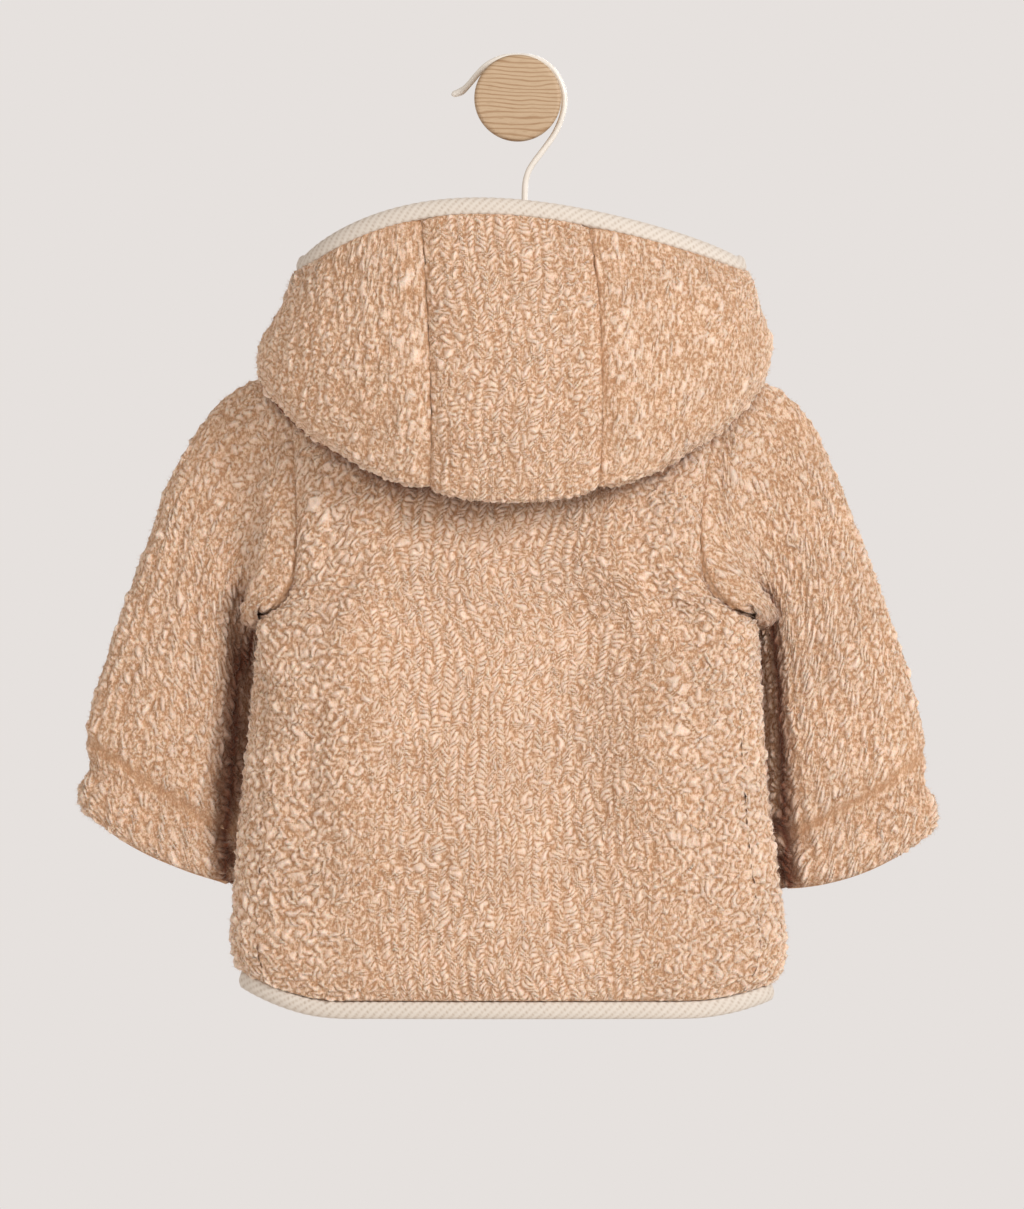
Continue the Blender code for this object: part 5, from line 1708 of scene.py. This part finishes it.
# Each finish: its material's name and the values that are the same all over it.
FINISHES = {
    teddy_pile: (
        "polyester_teddy_pile_tumbled",
        {
            "Roughness": 0.92, "IOR": 1.5, "Specular IOR Level": 0.15,
            "Sheen Weight": 0.5, "Sheen Roughness": 0.6, "Sheen Tint": linear("FFF1E4"),
            "Subsurface Weight": 0.3, "Subsurface Radius": (1.0, 0.55, 0.35),
            "Subsurface Scale": 0.002,
        },
    ),
    pile_ground: (
        "teddy_pile_ground_knitted",
        {"Roughness": 0.95, "IOR": 1.5, "Specular IOR Level": 0.1, "Sheen Weight": 0.2},
    ),
    knitted_backing: (
        "polyester_backing_warp_knitted",
        {"Roughness": 0.9, "IOR": 1.5, "Specular IOR Level": 0.2, "Sheen Weight": 0.25},
    ),
    rib_knit: (
        "cotton_rib_knit_bias_cut",
        {
            "Roughness": 0.85, "IOR": 1.5, "Specular IOR Level": 0.25, "Sheen Weight": 0.2,
            "Sheen Roughness": 0.5,
        },
    ),
    acetal: ("acetal_moulded", {"Roughness": 0.28, "IOR": 1.48, "Coat Weight": 0.1}),
    dipped_wire: (
        "vinyl_dipped_steel_wire",
        {"Roughness": 0.35, "IOR": 1.53, "Coat Weight": 0.15, "Coat Roughness": 0.2},
    ),
    turned_ash: ("ash_turned_sanded", {"Roughness": 0.6, "IOR": 1.5}),
    matt_paint: ("painted_floor_matt", {"Roughness": 0.9}),
}


def finish(maker, settings):
    """The material that a maker's nodes and its plain values give, made once."""
    name, plain = FINISHES[maker]
    if name in bpy.data.materials:
        return bpy.data.materials[name]
    made = bpy.data.materials.new(name)
    made.use_nodes = True
    shader = made.node_tree.nodes["Principled BSDF"]
    for socket, value in plain.items():
        shader.inputs[socket].default_value = value
    for socket, value in maker(made.node_tree, settings).items():
        made.node_tree.links.new(value, shader.inputs[socket])
    return made


# Operators, one for each group of pieces.

PATCHES = {"back": back_patch(), "front_left": front_patch(-1), "front_right": front_patch(1)}
LAYERS = jacket_layers()


class JACKET_OT_hanger(bpy.types.Operator):
    """Coated wire hook and arms, and the turned wall knob that holds them"""

    bl_idname = "jacket.hanger"
    bl_label = "Hanger and knob"

    def execute(self, context):
        settings = context.scene.jacket_hanger
        route, top = arm_route()
        arms = spaced(spaced(route, ARM_KNOTS), ARM_STEP)
        radii = rounded_ends(len(arms), ARM_RADIUS, ARM_STEP)
        wire = finish(dipped_wire, settings)
        wire_piece("hanger_arms_wire", arms, radii, WIRE_SIDES, wire, "hanger_arms")
        foot = top + ARM_RADIUS + SEAM_GAP
        hook = [(x, CENTRE_Y, z) for x, z in HOOK_ROUTE] + [(HANGER_X, CENTRE_Y, foot)]
        hook = spaced(spaced(hook, HOOK_KNOTS), HOOK_STEP)
        radii = rounded_ends(len(hook), WIRE_RADIUS, HOOK_STEP)
        from_tip = np.arange(len(hook)) * HOOK_STEP
        middle, half, share = TIP_BULGE
        radii = radii * (1 + share * np.exp(-(((from_tip - middle) / half) ** 2)))
        wire_piece("hanger_hook_wire", hook, radii, WIRE_SIDES, wire, "hanger_hook")
        face = np.array(KNOB_PROFILE)[::-1, ::-1]
        radius, height = face[0]
        profile = [(KNOB_CORE, height), (radius - KNOB_FACE_INSET, height)]
        profile += spaced(face[:KNOB_HEAD_POINTS], KNOB_SPACING).tolist()
        profile += face[KNOB_HEAD_POINTS:].tolist() + [(KNOB_CORE, 0.0)]
        wood = finish(turned_ash, settings)
        turned_piece("wall_knob_wood", profile, KNOB_SIDES, (0, 0, 0), -1, wood, "wall_knob")
        return {"FINISHED"}


class JACKET_OT_trims(bpy.types.Operator):
    """Ribbed bindings of the hem, fronts and hood, and the press studs"""

    bl_idname = "jacket.trims"
    bl_label = "Bindings and studs"

    def execute(self, context):
        settings = context.scene.jacket_trim
        rib = finish(rib_knit, settings)
        for node, line, slant in (
            ("hem_binding", hem_line(LAYERS), 1.0),
            ("hood_binding", hood_line(LAYERS["hood"]), -1.0),
            ("front_binding_left", front_line(LAYERS["front_left"]), 1.0),
            ("front_binding_right", front_line(LAYERS["front_right"]), 1.0),
        ):
            ribbed_piece(node, line, slant, settings, rib)
        plastic = finish(acetal, settings)
        for number in range(1, STUDS + 1):
            low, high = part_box(f"stud_{number}")
            middle = ((low[0] + high[0]) / 2 / MM, low[1] / MM, (low[2] + high[2]) / 2 / MM)
            turned_piece(
                f"stud_{number}_cap", STUD_PROFILE, STUD_SIDES, middle, 1, plastic,
                f"stud_{number}",
            )
        return {"FINISHED"}


class JACKET_OT_body(bpy.types.Operator):
    """Back and fronts: thin knitted shells and their pile"""

    bl_idname = "jacket.body"
    bl_label = "Back and fronts"

    def execute(self, context):
        for name in ("back", "front_left", "front_right"):
            dress(context, name)
        return {"FINISHED"}


class JACKET_OT_sleeves(bpy.types.Operator):
    """Both sleeves, with their turned and stitched cuffs"""

    bl_idname = "jacket.sleeves"
    bl_label = "Sleeves"

    def execute(self, context):
        for name in ("sleeve_left", "sleeve_right"):
            dress(context, name)
        return {"FINISHED"}


class JACKET_OT_hood(bpy.types.Operator):
    """The hood's centre strip and two sides"""

    bl_idname = "jacket.hood"
    bl_label = "Hood"

    def execute(self, context):
        for name in ("hood_centre", "hood_left", "hood_right"):
            dress(context, name)
        return {"FINISHED"}


# Picture: width and height, the knob's middle in it, and millimetres for each pixel.
PICTURE_WIDE, PICTURE_HIGH = 1024, 1209
KNOB_PIXEL = (517.8, 98.4)
PIXEL = 0.58
CAMERA_FAR = 6000.0
CAMERA_PLANE = -55.0
SENSOR = 36.0

# Floor, and each lamp's place, size and share of the key light; all lamps face one point.
FLOOR_HALF = 2.5
FLOOR_HEIGHT = -1.15
LAMPS = (
    ("key", (2.1, -2.2, 0.8), 1.3, 1.45),
    ("fill", (-1.8, -2.0, -0.2), 1.8, 0.34),
    ("back", (0.6, 2.4, 0.6), 1.6, 0.7),
)
LIT_POINT = (0.0, -0.05, -0.28)


class JACKET_OT_stage(bpy.types.Operator):
    """Pale floor, air, soft light and the camera"""

    bl_idname = "jacket.stage"
    bl_label = "Stage"

    def execute(self, context):
        scene = context.scene
        settings = scene.jacket_stage
        scene.view_settings.view_transform = "Standard"
        scene.world = bpy.data.worlds.new("pale_air")
        scene.world.use_nodes = True
        tree = scene.world.node_tree
        seen = add(tree, "LightPath", out="Is Camera Ray")
        colour = add(tree, "Mix", (seen, linear("F2E2D4"), settings.air))
        strength = add(tree, "MapRange", (seen, 0.0, 1.0, settings.ambient, 1.0))
        for socket, value in (("Color", colour), ("Strength", strength)):
            tree.links.new(value, tree.nodes["Background"].inputs[socket])
        mesh = bpy.data.meshes.new("floor")
        corners = ((-1, -1), (1, -1), (1, 1), (-1, 1))
        corners = [(x * FLOOR_HALF, y * FLOOR_HALF, FLOOR_HEIGHT) for x, y in corners]
        mesh.from_pydata(corners, [], [(0, 1, 2, 3)])
        mesh.materials.append(finish(matt_paint, settings))
        floor = bpy.data.objects.new("floor", mesh)
        scene.collection.objects.link(floor)
        for name, place, size, share in LAMPS:
            light = bpy.data.lights.new(name, "AREA")
            light.energy = settings.key * share
            light.shape = "DISK"
            light.size = size
            lamp = bpy.data.objects.new(name, light)
            scene.collection.objects.link(lamp)
            lamp.location = place
            ahead = Vector(LIT_POINT) - Vector(place)
            lamp.rotation_euler = ahead.to_track_quat("-Z", "Y").to_euler()
        lens = bpy.data.cameras.new("camera")
        camera = bpy.data.objects.new("camera", lens)
        scene.collection.objects.link(camera)
        lens.sensor_width = SENSOR
        lens.lens = SENSOR * CAMERA_FAR / (PICTURE_HIGH * PIXEL)
        lens.clip_end = 60.0
        aside = (PICTURE_WIDE / 2 - KNOB_PIXEL[0]) * PIXEL
        high = (KNOB_PIXEL[1] - PICTURE_HIGH / 2) * PIXEL
        camera.location = Vector((aside, CAMERA_PLANE - CAMERA_FAR, high)) * MM
        camera.rotation_euler = (math.pi / 2, 0.0, 0.0)
        scene.camera = camera
        return {"FINISHED"}


class JACKET_PT_panel(bpy.types.Panel):
    """Lists the jacket's makers and settings"""

    bl_label = "Fleece jacket"
    bl_idname = "JACKET_PT_panel"
    bl_space_type = "VIEW_3D"
    bl_region_type = "UI"
    bl_category = "Fleece jacket"

    def draw(self, context):
        for operator in OPERATORS:
            self.layout.operator(operator.bl_idname)
        for name in SETTINGS:
            group = getattr(context.scene, name)
            box = self.layout.box()
            for each in group.bl_rna.properties:
                if not each.is_readonly and each.identifier != "name":
                    box.prop(group, each.identifier)


OPERATORS = (
    JACKET_OT_hanger, JACKET_OT_trims, JACKET_OT_body, JACKET_OT_sleeves, JACKET_OT_hood,
    JACKET_OT_stage,
)
SETTINGS = {
    "jacket_pile": PileSettings,
    "jacket_trim": TrimSettings,
    "jacket_hanger": HangerSettings,
    "jacket_stage": StageSettings,
}


def register():
    for group in SETTINGS.values():
        bpy.utils.register_class(group)
    for name, group in SETTINGS.items():
        setattr(bpy.types.Scene, name, PointerProperty(type=group))
    for each in (*OPERATORS, JACKET_PT_panel):
        bpy.utils.register_class(each)


def unregister():
    for each in (JACKET_PT_panel, *reversed(OPERATORS)):
        bpy.utils.unregister_class(each)
    for name in SETTINGS:
        delattr(bpy.types.Scene, name)
    for group in reversed(SETTINGS.values()):
        bpy.utils.unregister_class(group)


def main():
    register()
    for operator in OPERATORS:
        module, name = operator.bl_idname.split(".")
        getattr(getattr(bpy.ops, module), name)()


if __name__ == "__main__":
    main()
